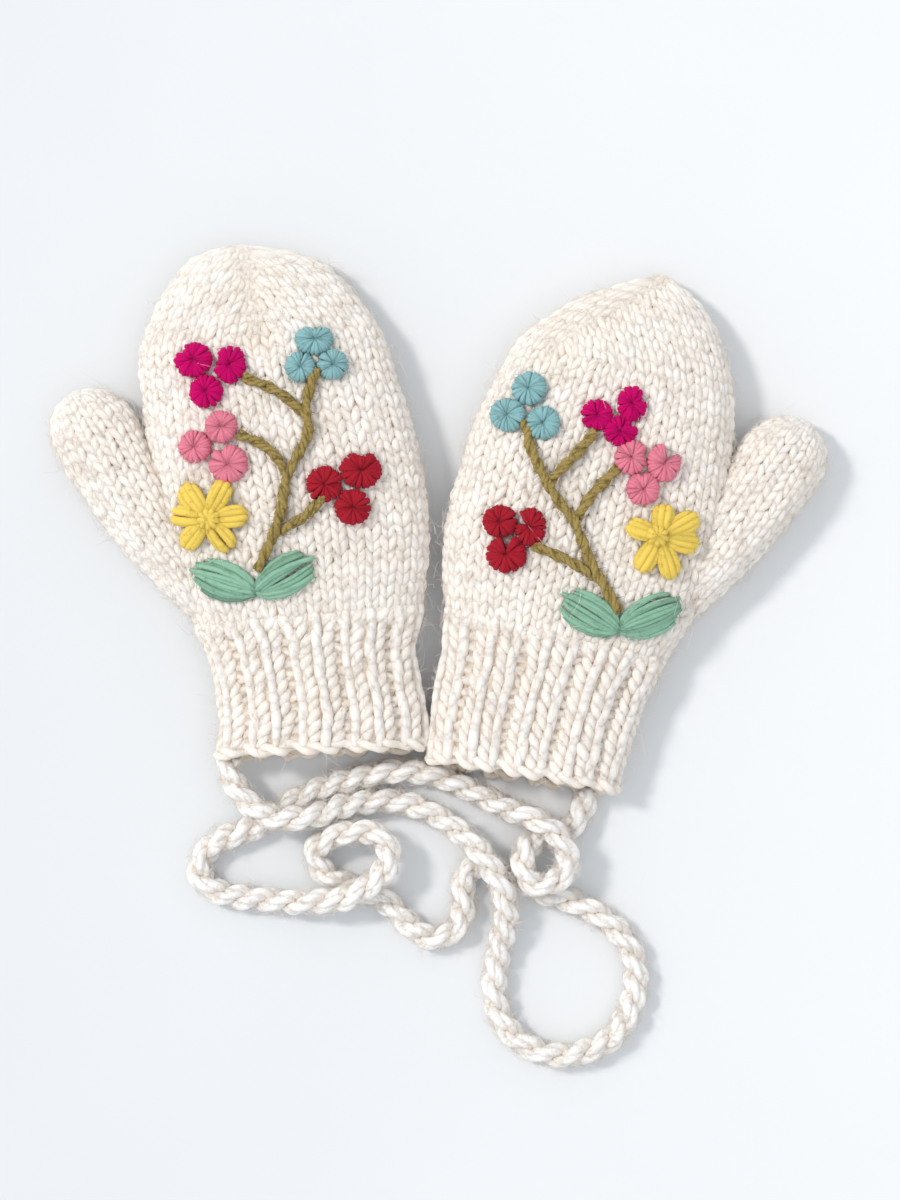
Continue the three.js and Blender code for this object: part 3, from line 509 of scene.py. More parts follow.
def quads_mesh(name, parts, mirrored=False):
    """One mesh of all the parts, each given as points, faces, winding and tone, the tone holding
    painted shade as well as random variation.
    """
    points = np.vstack([p[0] for p in parts]) * 0.001
    starts = np.cumsum([0] + [len(p[0]) for p in parts])[:-1]
    faces = np.vstack([p[1] + s for p, s in zip(parts, starts)])
    winding = np.vstack([p[2] for p in parts])
    shade = np.concatenate([p[3] for p in parts])
    if mirrored:
        faces, winding = faces[:, ::-1], winding[:, ::-1]
    mesh = bpy.data.meshes.new(name)
    mesh.vertices.add(len(points))
    mesh.vertices.foreach_set("co", points.ravel().astype(np.float32))
    mesh.loops.add(faces.size)
    mesh.loops.foreach_set("vertex_index", faces.ravel().astype(np.int32))
    mesh.polygons.add(len(faces))
    mesh.polygons.foreach_set("loop_start", np.arange(0, faces.size, 4, dtype=np.int32))
    mesh.polygons.foreach_set("use_smooth", np.ones(len(faces), bool))
    mesh.update(calc_edges=True)
    layer = mesh.uv_layers.new(name="winding")
    layer.uv.foreach_set("vector", winding.ravel().astype(np.float32))
    # the tone attribute carries painted shade and random variation into the yarn's colour
    tone = mesh.attributes.new("tone", "FLOAT", "POINT")
    tone.data.foreach_set("value", shade.astype(np.float32))
    mesh.validate()
    piece = bpy.data.objects.new(name, mesh)
    bpy.context.scene.collection.objects.link(piece)
    return piece


def cloth_backing(name, node, draw_in, inset=0.0015):
    """The knitted cloth behind the stitches: a wall drawn in from both its faces and its tip, given a
    low tone as painted shade between the stitches.
    """
    bpy.ops.object.select_all(action="DESELECT")
    wall = bpy.data.objects.new(name, frame["nodes"][node].data.copy())
    bpy.context.scene.collection.objects.link(wall)
    wall.data.materials.clear()
    bpy.context.view_layer.objects.active = wall
    wall.select_set(True)
    bpy.ops.object.mode_set(mode="EDIT")
    bpy.ops.mesh.select_all(action="SELECT")
    bpy.ops.mesh.remove_doubles(threshold=0.00001)
    bpy.ops.object.mode_set(mode="OBJECT")
    bpy.ops.object.modifier_add(type="DISPLACE")
    wall.modifiers[-1].strength = -inset
    wall.modifiers[-1].mid_level = 0
    bpy.ops.object.modifier_apply(modifier=wall.modifiers[-1].name)
    bpy.ops.object.shade_smooth()
    count = len(wall.data.vertices)
    place = np.empty(3 * count, np.float32)
    wall.data.vertices.foreach_get("co", place)
    place = draw_in(place.reshape(-1, 3) * 1000.0) * 0.001
    wall.data.vertices.foreach_set("co", place.astype(np.float32).ravel())
    # painted shade: the backing's tone of 0.30 shows dark in the gaps between stitches
    tone = wall.data.attributes.new("tone", "FLOAT", "POINT")
    tone.data.foreach_set("value", np.full(count, 0.30, np.float32))
    while wall.data.uv_layers:
        wall.data.uv_layers.remove(wall.data.uv_layers[0])
    wall.data.uv_layers.new(name="winding")
    return wall


def joined(name, pieces):
    """Joins pieces into one under a new name."""
    bpy.ops.object.select_all(action="DESELECT")
    for piece in pieces:
        piece.select_set(True)
    bpy.context.view_layer.objects.active = pieces[0]
    bpy.ops.object.join()
    pieces[0].name = name
    pieces[0].data.name = name
    return pieces[0]


def finished(piece, material, node):
    """Gives a piece its finish and lets it stand for its node."""
    piece.data.materials.clear()
    piece.data.materials.append(material)
    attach(piece, "root")
    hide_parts(node)
    return piece


# ---------------------------------------------------------------- stitches

# One leg of a knit stitch: share of its width, share of its height, depth, thickness, tone; the tone
# is lower at both ends as painted shade where the leg goes under its neighbours
LEG = np.array([
    (0.03, -0.40, -2.0, 0.92, 0.55), (0.12, -0.05, -1.40, 1.25, 0.92),
    (0.24, 0.36, -1.20, 1.42, 1.00), (0.35, 0.76, -1.35, 1.30, 0.95),
    (0.38, 1.18, -2.10, 0.92, 0.55),
])
LEG_POINTS = smooth_line(LEG, 2)[[0, 1, 2, 4, 6, 7, 8]]


# The two legs of a stitch in a rib: the left one upright and smooth, the right one slanted; both
# darker at their ends as painted shade
RIB_LEGS = (
    np.array([(-0.27, -0.60, -1.45, 1.35, 0.85), (-0.28, -0.05, -0.98, 1.55, 0.98),
              (-0.28, 0.45, -0.90, 1.62, 1.05), (-0.28, 0.95, -0.98, 1.55, 0.98),
              (-0.27, 1.50, -1.45, 1.35, 0.85)]),
    np.array([(-0.02, -0.40, -2.3, 0.95, 0.45), (0.09, -0.02, -1.50, 1.40, 0.88),
              (0.22, 0.38, -1.20, 1.62, 1.0), (0.35, 0.78, -1.30, 1.55, 0.94),
              (0.45, 1.15, -1.9, 1.15, 0.6)]),
)


def legs_of(shape):
    return smooth_line(shape, 2)[[0, 1, 2, 4, 6, 7, 8]]


def knit_stitches(surface, rows, columns, height, width, seed, loose=1.0, thick=1.0, lean=None,
                  legs=None, shade=1.0):
    """Legs of knit stitches: rows and columns of their middles, heights and widths in steps; shade
    below 1 darkens them as painted shade.
    """
    mirrored = LEG_POINTS * np.array([-1, 1, 1, 1, 1])
    legs = (mirrored, LEG_POINTS) if legs is None else legs
    rng = np.random.default_rng(seed)
    count = len(rows)
    parts_row, parts_column, depth, radius, tone = [], [], [], [], []
    size = 1 + loose * rng.normal(0, 0.06, count)
    shift = loose * rng.normal(0, 0.035, (count, 2))
    sink = loose * rng.normal(0, 0.16, count)
    bright = (1 + rng.normal(0, 0.06, count)) * shade
    for leg in legs:
        a = leg[:, 0] * size[:, None] + shift[:, :1]
        b = leg[:, 1] + shift[:, 1:] + loose * rng.normal(0, 0.05, count)[:, None]
        row = rows[:, None] + b * height[:, None]
        slide = 0.0 if lean is None else lean[:, None] * b
        parts_row.append(row)
        parts_column.append(columns[:, None] + (a * width[:, None]) + slide)
        depth.append(leg[:, 2] + sink[:, None] + 0 * a)
        radius.append(leg[:, 3] * thick * (size + loose * rng.normal(0, 0.05, count))[:, None])
        # tone: the leg's painted shade at its ends, times the stitch's random brightness and its
        # painted shade
        tone.append(leg[:, 4] * bright[:, None])
    row, column = np.vstack(parts_row), np.vstack(parts_column)
    paths, normal = surface.at(row, column, np.vstack(depth))
    return tubes(paths, normal, np.vstack(radius), tone=np.vstack(tone), flat=0.92)


def decrease_column(mitten, surface):
    """Column of the decrease line over the top of the hand, in each row."""
    scale = np.array([HAND_HALF_WIDTH, HAND_LENGTH])
    start, end = (np.array(p) * scale + [0, CUFF_LENGTH] for p in mitten["pucker"])
    out = np.empty(surface.rows)
    for r in range(surface.rows):
        y = surface.points[r, 0, 1]
        x = start[0] + (end[0] - start[0]) * (y - start[1]) / (end[1] - start[1])
        out[r] = np.interp(x, surface.points[r, :surface.half, 0], np.arange(surface.half))
    return out, start[1]


def hand_knit(mitten):
    surface = hand_surface(mitten)
    line, line_start = decrease_column(mitten, surface)
    first = np.searchsorted(surface.points[:, 0, 1], line_start)
    half = surface.half
    course = settings().course
    distance = np.arange(surface.run[3] - 0.6, surface.run[-1] - mitten["tip"], course)
    rows, columns, heights, widths, leans = [], [], [], [], []
    for d in distance:
        row = float(surface.row_at(d))
        high = float(surface.row_at(d + course)) - row
        r = min(int(round(row)), surface.rows - 1)
        r_next = min(r + max(1, int(round(high))), surface.rows - 1)
        for j in range(36):
            below = j >= 18
            share = (j % 18 + 0.5) / 18
            lengths = surface.under if below else surface.over
            if r <= first:
                place = lambda k: share * half
                keep = True
                wide = half / 18
            else:
                full, now = lengths[first], lengths[r]
                arc = share * full
                at_line = (half / 2 if below else line[first]) / half * full
                line_now = (half / 2 if below else line[r]) / half * now
                if arc < at_line:
                    place = lambda k: arc / lengths[k] * half
                    keep = arc < line_now + 1.2
                else:
                    place = lambda k: (1 - (full - arc) / lengths[k]) * half
                    keep = now - (full - arc) > line_now - 1.2
                wide = half / 18 * min(full / now, 2.2)
            if keep:
                c0 = place(r)
                rows.append(row)
                columns.append(c0 + (half if below else 0))
                heights.append(high)
                widths.append(wide)
                leans.append(np.clip(place(r_next) - c0, -12, 12))
    rows, columns = np.array(rows), np.array(columns)
    spot, _ = surface.at(rows, columns, np.zeros(len(rows)))
    # painted shade: stitches along the fingertip crease get up to 30 % less tone
    fold = pucker(mitten, spot[:, 0], spot[:, 1]) / PUCKER_DEPTH * (columns < half)
    return surface, knit_stitches(surface, rows, columns, np.array(heights), np.array(widths),
                                  mitten["seed"], lean=np.array(leans), shade=1 - 0.3 * fold)


def in_hand(mitten, points, margin):
    left, right, top, floor = hand_outline(mitten, points[..., 1])
    x, z = points[..., 0], points[..., 2]
    inside = (x > left + margin) & (x < right - margin)
    return inside & (z < back_of_hand(mitten, x, points[..., 1]) - margin)


def thumb_knit(mitten):
    surface = thumb_surface(mitten)
    course = settings().course
    rows, columns, heights = [], [], []
    for d in np.arange(1.0, surface.run[-1] - 0.3, course):
        row = float(surface.row_at(d))
        high = float(surface.row_at(d + course)) - row
        for j in range(16):
            column = (j + 0.5) * SAMPLES
            spot, _ = surface.at(np.array([row + high / 2]), np.array([column]), np.array([-1.0]))
            if not in_hand(mitten, spot, 2.2)[0]:
                rows.append(row)
                columns.append(column)
                heights.append(high)
    count = len(rows)
    return surface, knit_stitches(surface, np.array(rows), np.array(columns), np.array(heights),
                                  np.full(count, float(SAMPLES)), mitten["seed"] + 1, thick=0.95)


def cuff_knit(mitten):
    """Ribs of two knit and two purl stitches, and the twisted edge of the mouth."""
    surface = cuff_surface(mitten)
    rng = np.random.default_rng(mitten["seed"] + 2)
    course = 3.4
    distances = np.arange(1.6, surface.run[-1] - 0.6, course)
    row = surface.row_at(distances)
    high = surface.row_at(distances + course) - row
    wales = np.array([4 * j + place for j in range(9) for place in (0.05, 1.97)])
    grid_row, grid_wale = np.meshgrid(np.arange(len(row)), np.arange(len(wales)), indexing="ij")
    columns = wales[grid_wale] * SAMPLES
    parts = [knit_stitches(surface, row[grid_row].ravel(), columns.ravel(),
                           high[grid_row].ravel(), np.full(columns.size, 1.9 * SAMPLES),
                           mitten["seed"] + 3, loose=1.0, legs=tuple(map(legs_of, RIB_LEGS)))]
    arc = np.linspace(-1, 1, 6)
    bumps_row, bumps_column, bumps_depth = [], [], []
    for centre in np.arange(3.0, 36, 4):
        for k in range(len(row)):
            for half in (0.10, 0.60):
                tilt = rng.normal(0, 0.10)
                bow = 0.22 if half < 0.5 else -0.20
                bumps_row.append(row[k] + high[k] * (half + tilt * arc + bow * (1 - arc ** 2)))
                bumps_column.append((centre + 0.10 + 0.32 * arc) * SAMPLES)
                bumps_depth.append(-1.25 - 0.5 * arc ** 2 + rng.normal(0, 0.15) + 0 * arc)
    paths, normal = surface.at(np.array(bumps_row), np.array(bumps_column), np.array(bumps_depth))
    # painted shade: the purl bumps down in the rib valleys are darker, most at their ends
    tone = np.broadcast_to(0.66 - 0.15 * arc ** 2, paths.shape[:2])
    parts.append(tubes(paths, normal, np.broadcast_to(1.30 - 0.3 * arc ** 2, paths.shape[:2]),
                       tone=tone))
    parts += [inner_knit(mitten, surface), *mouth_edge(surface, mitten["side"])]
    return surface, parts


def inner_knit(mitten, surface):
    """Stitches on the inside of the cuff, as deep as the mouth lets one see, with painted shade making
    them darker.
    """
    inner = Surface((surface.points - KNIT_WALL * surface.normals)[:, ::-1])
    distances = np.arange(2.0, 32.0, 3.7)
    row = inner.row_at(distances)
    high = inner.row_at(distances + 3.7) - row
    grid_row, wale = np.meshgrid(np.arange(len(row)), np.arange(36), indexing="ij")
    # painted shade: the inside stitches get 0.8 of the tone
    return knit_stitches(inner, row[grid_row].ravel(), ((wale + 0.5) * SAMPLES).ravel(),
                         high[grid_row].ravel(), np.full(wale.size, 1.0 * SAMPLES),
                         mitten["seed"] + 5, shade=0.8)


def mouth_edge(surface, hand):
    """Two yarns twisted round the mouth of the cuff."""
    column = np.linspace(0, surface.columns, 301)
    parts = []
    for phase in (0, np.pi):
        turn = -2 * np.pi * hand * column / (SAMPLES * 3.6) + phase
        row = 0.9 + 1.3 * np.sin(turn)
        out = -1.5 + 0.95 * np.cos(turn)
        path, normal = surface.at(np.maximum(row, 0), column, out)
        path[:, 1] += np.minimum(row, 0) - 0.5 * rib_profile(column / SAMPLES)
        path[-1], normal[-1] = path[0], normal[0]
        # painted shade: each yarn is darker where it turns in under the edge
        tone = np.clip(0.75 + 0.2 * np.cos(turn), 0, 1)[None, :]
        parts.append(tubes(path[None], normal[None], np.full((1, len(column)), 1.42), tone=tone))
    return parts


# ---------------------------------------------------------------- cord

def cord_start(mitten):
    """Where the cord leaves a cuff, and a point straight out from there."""
    thumb_side, far_side, top = mitten["cuff"][0][1:]
    share = mitten["cuff"][0][0]
    left, right = -thumb_side * CUFF_HALF_WIDTH, far_side * CUFF_HALF_WIDTH
    across, height = mitten["cord"]
    x, z = across * left, height * CUFF_HEIGHT
    mouth = (1 - share) ** 4
    offset = mouth * (MOUTH_SLANT * (z - 3.5) / (top * CUFF_HEIGHT)
                      + MOUTH_RISE * ((right - x) / (right - left) - 0.5))
    rim = share * CUFF_LENGTH + offset - 0.45
    return placed(mitten, np.array([(x, rim, z), (x, rim - CORD_RUN, z)]))


def cord_line():
    shift = origin_of(LEFT)[:2] - np.array(LEFT_CUFF_AT)
    middle = [(x + shift[0], y + shift[1], CORD_REST + lift * CORD_HUMP)
              for x, y, lift in CORD_ROUTE]
    line = [*cord_start(LEFT), *middle, *cord_start(RIGHT)[::-1]]
    return evenly(smooth_line(line, 40), 0.5)


def carried_frames(line):
    """Two directions across a line that turn with it as little as they can."""
    tangent = unit(np.gradient(line, axis=0))
    up = np.empty_like(line)
    up[0] = unit(np.cross(np.cross(tangent[0], [0, 0, 1.0]), tangent[0]))
    for i in range(1, len(line)):
        step = up[i - 1] - tangent[i] * (up[i - 1] @ tangent[i])
        up[i] = step / max(np.linalg.norm(step), 1e-9)
    return np.cross(tangent, up), up


def twisted_strands(line, plies, ply_offset, ply_pitch, strands, offset, pitch, radius, sides=6,
                    tone=1.0, seed=5):
    """Strands twisted into plies and the plies into a cord along a line."""
    rng = np.random.default_rng(seed)
    run = np.concatenate([[0], np.cumsum(np.linalg.norm(np.diff(line, axis=0), axis=1))])
    side, up = carried_frames(line)
    wander = 0.35 * np.interp(run, np.linspace(0, run[-1], 40), rng.normal(0, 1, 40))
    parts = []
    for p in range(plies):
        turn = 2 * np.pi * (run / ply_pitch + p / plies) + wander
        core = line + ply_offset * (np.cos(turn)[:, None] * side + np.sin(turn)[:, None] * up)
        if strands == 1:
            core_up = np.cos(turn)[:, None] * side + np.sin(turn)[:, None] * up
            parts.append(tubes(core[None], core_up[None], np.full((1, len(core)), radius), sides,
                               tone=np.full((1, len(core)), tone)))
            continue
        inner_side, inner_up = carried_frames(core)
        for s in range(strands):
            twist = -2 * np.pi * (run / pitch + s / strands)
            out = np.cos(twist)[:, None] * inner_side + np.sin(twist)[:, None] * inner_up
            path = core + offset * out
            outward = unit(path - line)
            # painted shade: strands are darker where they face into the cord
            shade = np.clip(0.80 + 0.25 * np.sum(outward * out, axis=1), 0.5, 1.05) * tone
            slub = np.interp(run, np.arange(0, run[-1] + 4, 3.0),
                             rng.normal(1, 0.07, len(np.arange(0, run[-1] + 4, 3.0))))
            parts.append(tubes(path[None], outward[None], (radius * slub)[None], sides,
                               tone=shade[None]))
    return parts


# ---------------------------------------------------------------- embroidery

def knot_yarns(mitten, key, x, y, radius, seed):
    """Wraps of yarn from the middle of a knot over to its rim, over a dark layer of yarn that is
    painted shade between them.
    """
    rng = np.random.default_rng(seed)
    wide, tall, notch, depth, gap, gap_half = mitten["shapes"].get(key, (1, 1, 0, 0, 0, 0))
    wraps = 26
    seen = np.arange(wraps) * 360 / wraps + rng.normal(0, 3.5, wraps)
    if gap_half:
        away = (seen - gap + 180) % 360 - 180
        seen = seen[np.abs(away) > gap_half]
    away = (seen - notch + 180) % 360 - 180
    reach = radius * (1 - depth * np.exp(-(away / 16) ** 2)) * (1 + rng.normal(0, 0.016, len(seen)))
    seen_x, seen_y = np.cos(np.radians(seen)) * wide, np.sin(np.radians(seen)) * tall
    own = turned(np.stack([seen_x, seen_y], axis=-1), -mitten["turn"])
    own[:, 0] *= mitten["side"]
    profile = np.array([(0.05, 0.9, 0.30), (0.10, 1.75, 0.36), (0.32, 2.50, 0.50),
                        (0.60, 2.35, 0.66), (0.84, 1.40, 0.78), (0.88, 0.15, 0.76)])
    profile = smooth_line(profile, 2)
    ease = 1 + rng.normal(0, 0.09, len(seen))[:, None]
    flat = np.empty((len(seen), len(profile), 3))
    flat[..., 0] = x + own[:, :1] * reach[:, None] * profile[:, 0]
    flat[..., 1] = y + own[:, 1:] * reach[:, None] * profile[:, 0]
    flat[..., 2] = profile[:, 1] * ease + SEAM_GAP
    paths, _ = on_back(mitten, flat)
    centre, normal = on_back(mitten, np.array([[x, y, 0.6]]))
    facing = unit(paths - centre + 0.0 * normal)
    radii = profile[:, 2] * ease * (radius / KNOT_RADIUS)
    spoke = np.clip(1 + rng.normal(0, 0.16, len(seen)), 0.6, 1.25)[:, None]
    # painted shade: the wraps are darker towards the knot's middle; spoke varies them at random
    tone = np.clip(0.55 + 0.7 * profile[:, 0], 0, 1) * spoke
    # painted shade: a dark layer of yarn (tone 0.3) under the wraps, seen between them
    core = np.array([(0.0, 0.2, 1.0), (0.0, 1.1, 1.0), (0.28, 1.35, 1.15), (0.52, 1.25, 1.25),
                     (0.70, 0.75, 1.1), (0.72, 0.1, 0.9)])
    deep = np.empty((len(seen), len(core), 3))
    deep[..., 0] = x + own[:, :1] * reach[:, None] * core[:, 0]
    deep[..., 1] = y + own[:, 1:] * reach[:, None] * core[:, 0]
    deep[..., 2] = core[:, 1] + SEAM_GAP
    under, _ = on_back(mitten, deep)
    return [tubes(paths, facing, radii, tone=tone),
            tubes(under, unit(under - centre + 0.1 * normal), 0.8 * core[:, 2], tone=0.3)]


def daisy_yarns(mitten, seed):
    """Petals of looped thick yarn round a raised knot."""
    rng = np.random.default_rng(seed)
    centre = np.array([mitten["daisy"][0] * HAND_HALF_WIDTH,
                       CUFF_LENGTH + mitten["daisy"][1] * HAND_LENGTH])
    parts = []
    for angle, share in mitten["petals"]:
        length = share * PETAL_LENGTH - 1.2
        turn = math.radians(angle)
        along = np.array([math.cos(turn), math.sin(turn)])
        across = np.array([-along[1], along[0]])
        for s, reach, lift in ((-1.0, 0.90, 1.0), (1.0, 0.92, 1.0), (-0.40, 1.0, 1.3),
                               (0.42, 0.99, 1.3)):
            shape = np.array([(0.08, 0.24, 1.3), (0.28, 0.60, 1.7), (0.55, 0.90, 1.9),
                              (0.82, 0.98, 1.7), (0.97, 0.86, 1.2), (1.00, 0.75, 0.2)])
            a = shape[:, 0] * length * reach
            b = shape[:, 1] * s * 2.3 + rng.normal(0, 0.2)
            spot = centre + a[:, None] * along + b[:, None] * across
            flat = np.column_stack([spot, shape[:, 2] * lift + SEAM_GAP])
            flat = smooth_line(flat, 3)[None]
            paths, normal = on_back(mitten, flat)
            n = flat.shape[1]
            thick = (1.32 + rng.normal(0, 0.08)) * (1 - 0.2 * np.abs(np.linspace(-1, 1, n)) ** 3)
            # painted shade: each petal yarn is darker towards the flower's middle, times a random tone
            tone = np.linspace(0.60, 1.15, n) * (1 + rng.normal(0, 0.12))
            parts.append(tubes(paths, normal, thick[None], tone=tone[None]))
    for k in range(9):
        turn = 2 * math.pi * k / 9 + 0.4
        reach = np.array([0.15, 1.1, 2.2, 2.9, 3.0])
        flat = np.column_stack([centre[0] + 0.8 + reach * math.cos(turn),
                                centre[1] + reach * math.sin(turn),
                                [3.4, 4.2, 3.9, 2.8, 1.2]])
        flat = smooth_line(flat, 2)[None]
        paths, normal = on_back(mitten, flat)
        tone = np.full((1, flat.shape[1]), 0.95 + rng.normal(0, 0.12))
        parts.append(tubes(paths, normal, np.full((1, flat.shape[1]), 1.0), tone=tone))
    return parts


def leaf_yarns(mitten, angle, seed):
    """Satin stitches that fan out from the foot of the stem."""
    rng = np.random.default_rng(seed)
    root = np.array([mitten["leaf_root"][0] * HAND_HALF_WIDTH,
                     CUFF_LENGTH + mitten["leaf_root"][1] * HAND_LENGTH])
    turn = math.radians(angle)
    along = np.array([math.cos(turn), math.sin(turn)])
    across = np.array([-along[1], along[0]])
    outline = np.array(LEAF)
    parts = []
    count = 11
    for k in range(count):
        s = -1 + 2 * k / (count - 1)
        end = 1.0 - 0.16 * s * s + rng.normal(0, 0.05)
        a = np.linspace(0.0, end, 12)
        width = np.interp(a, np.r_[0, outline[:, 0]], np.r_[0.12, outline[:, 1]])
        width = np.maximum(width, 0.42 * np.clip(a / 0.3, 0, 1))
        b = s * width * (LEAF_HALF_WIDTH - 0.9) + 0.3 * np.sin(3.0 * a + k) + a * rng.normal(0, 0.45)
        spot = root + (a * LEAF_LENGTH)[:, None] * along + b[:, None] * across
        height = 1.55 * np.sqrt(np.clip(1 - 0.75 * s * s, 0, 1)) * np.sin(
            np.pi * np.clip(0.12 + 0.84 * a / end, 0, 1)) ** 0.5 + rng.normal(0, 0.22)
        flat = np.column_stack([spot, np.maximum(height, 0) * 0.85 + SEAM_GAP])[None]
        paths, normal = on_back(mitten, flat)
        thick = 0.84 * (1 - 0.3 * np.abs(np.linspace(-1, 1, 12)) ** 4) + rng.normal(0, 0.05)
        tone = np.full(12, 0.88 + rng.normal(0, 0.24))
        parts.append(tubes(paths, normal, thick[None], tone=tone[None]))
    return parts


def stem_yarns(mitten, seed):
    parts = []
    for k, stem in enumerate(mitten["stems"]):
        points = [(a * HAND_HALF_WIDTH, CUFF_LENGTH + b * HAND_LENGTH, 1.25 + SEAM_GAP)
                  for a, b in stem]
        flat = evenly(smooth_line(points, 8), 0.7)
        flat[:, 2] *= np.clip(np.linspace(0, len(flat), len(flat)) / 4, 0.5, 1)
        line, _ = on_back(mitten, flat)
        parts += twisted_strands(line, 2, 0.66, 13.0, 3, 0.52, -8.0, 0.74, seed=seed + k)
    return parts


# ---------------------------------------------------------------- loose fibres

def fibre_tubes(feet, normals, seed, length=(2.0, 6.0), rise=0.6, thick=0.075):
    """Fine curved fibres that stand out of the yarn."""
    rng = np.random.default_rng(seed)
    count = len(feet)
    lean = rng.normal(0, 1, (count, 3))
    lean = unit(lean - np.sum(lean * normals, axis=1)[:, None] * normals)
    bend = unit(np.cross(lean, normals)) * rng.normal(0, 0.5, count)[:, None]
    reach = rng.uniform(*length, count)[:, None] * rng.uniform(0.5, 1.3, count)[:, None]
    up = rng.uniform(0.15, 1.0, count)[:, None] * rise
    paths = np.stack([feet + reach * (t * lean + t * t * bend + (1.5 * t - 0.9 * t * t) * up * normals)
                      for t in (0, 0.5, 1)], axis=1)
    facing = np.repeat(normals[:, None], 3, axis=1) + 0.01
    radii = thick * np.array([1.0, 0.95, 0.6])
    return tubes(paths, facing, radii, sides=3, tone=1.0)


def knit_fibres(mitten):
    rng = np.random.default_rng(mitten["seed"] + 90)
    total = settings().hairs // 2
    parts = []
    for surface, share in ((hand_surface(mitten), 0.60), (thumb_surface(mitten), 0.18),
                           (cuff_surface(mitten), 0.22)):
        count = int(total * share)
        size = (surface.over + surface.under) * np.gradient(surface.run)
        spread = np.cumsum(size) / np.sum(size)
        row = np.clip(np.interp(rng.uniform(0.01, 0.975, count), spread, np.arange(surface.rows)),
                      1, surface.rows - 2)
        column = rng.uniform(0, surface.columns, count)
        feet, normals = surface.at(row, column, rng.uniform(-1.0, 0.0, count))
        keep = placed(mitten, feet)[:, 2] > 1.2
        keep &= normals[:, 2] > -0.55
        long_ones = rng.uniform(0, 1, count) < 0.2
        for group, length in ((keep & ~long_ones, (1.5, 4.0)), (keep & long_ones, (4.0, 9.0))):
            parts.append(fibre_tubes(feet[group], normals[group], mitten["seed"] + len(parts),
                                     length))
    return parts


def cord_fibres(line, count, seed=77):
    rng = np.random.default_rng(seed)
    pick = rng.integers(2, len(line) - 2, count)
    side, up = carried_frames(line)
    turn = rng.uniform(0, 2 * np.pi, count)
    out = np.cos(turn)[:, None] * side[pick] + np.sin(turn)[:, None] * up[pick]
    keep = out[:, 2] > -0.5
    return [fibre_tubes((line[pick] + 3.4 * out)[keep], out[keep], seed, (1.0, 4.0))]


# ---------------------------------------------------------------- finishes

def node_tree(name):
    material = bpy.data.materials.new(name)
    material.use_nodes = True
    return material, material.node_tree.nodes, material.node_tree.links


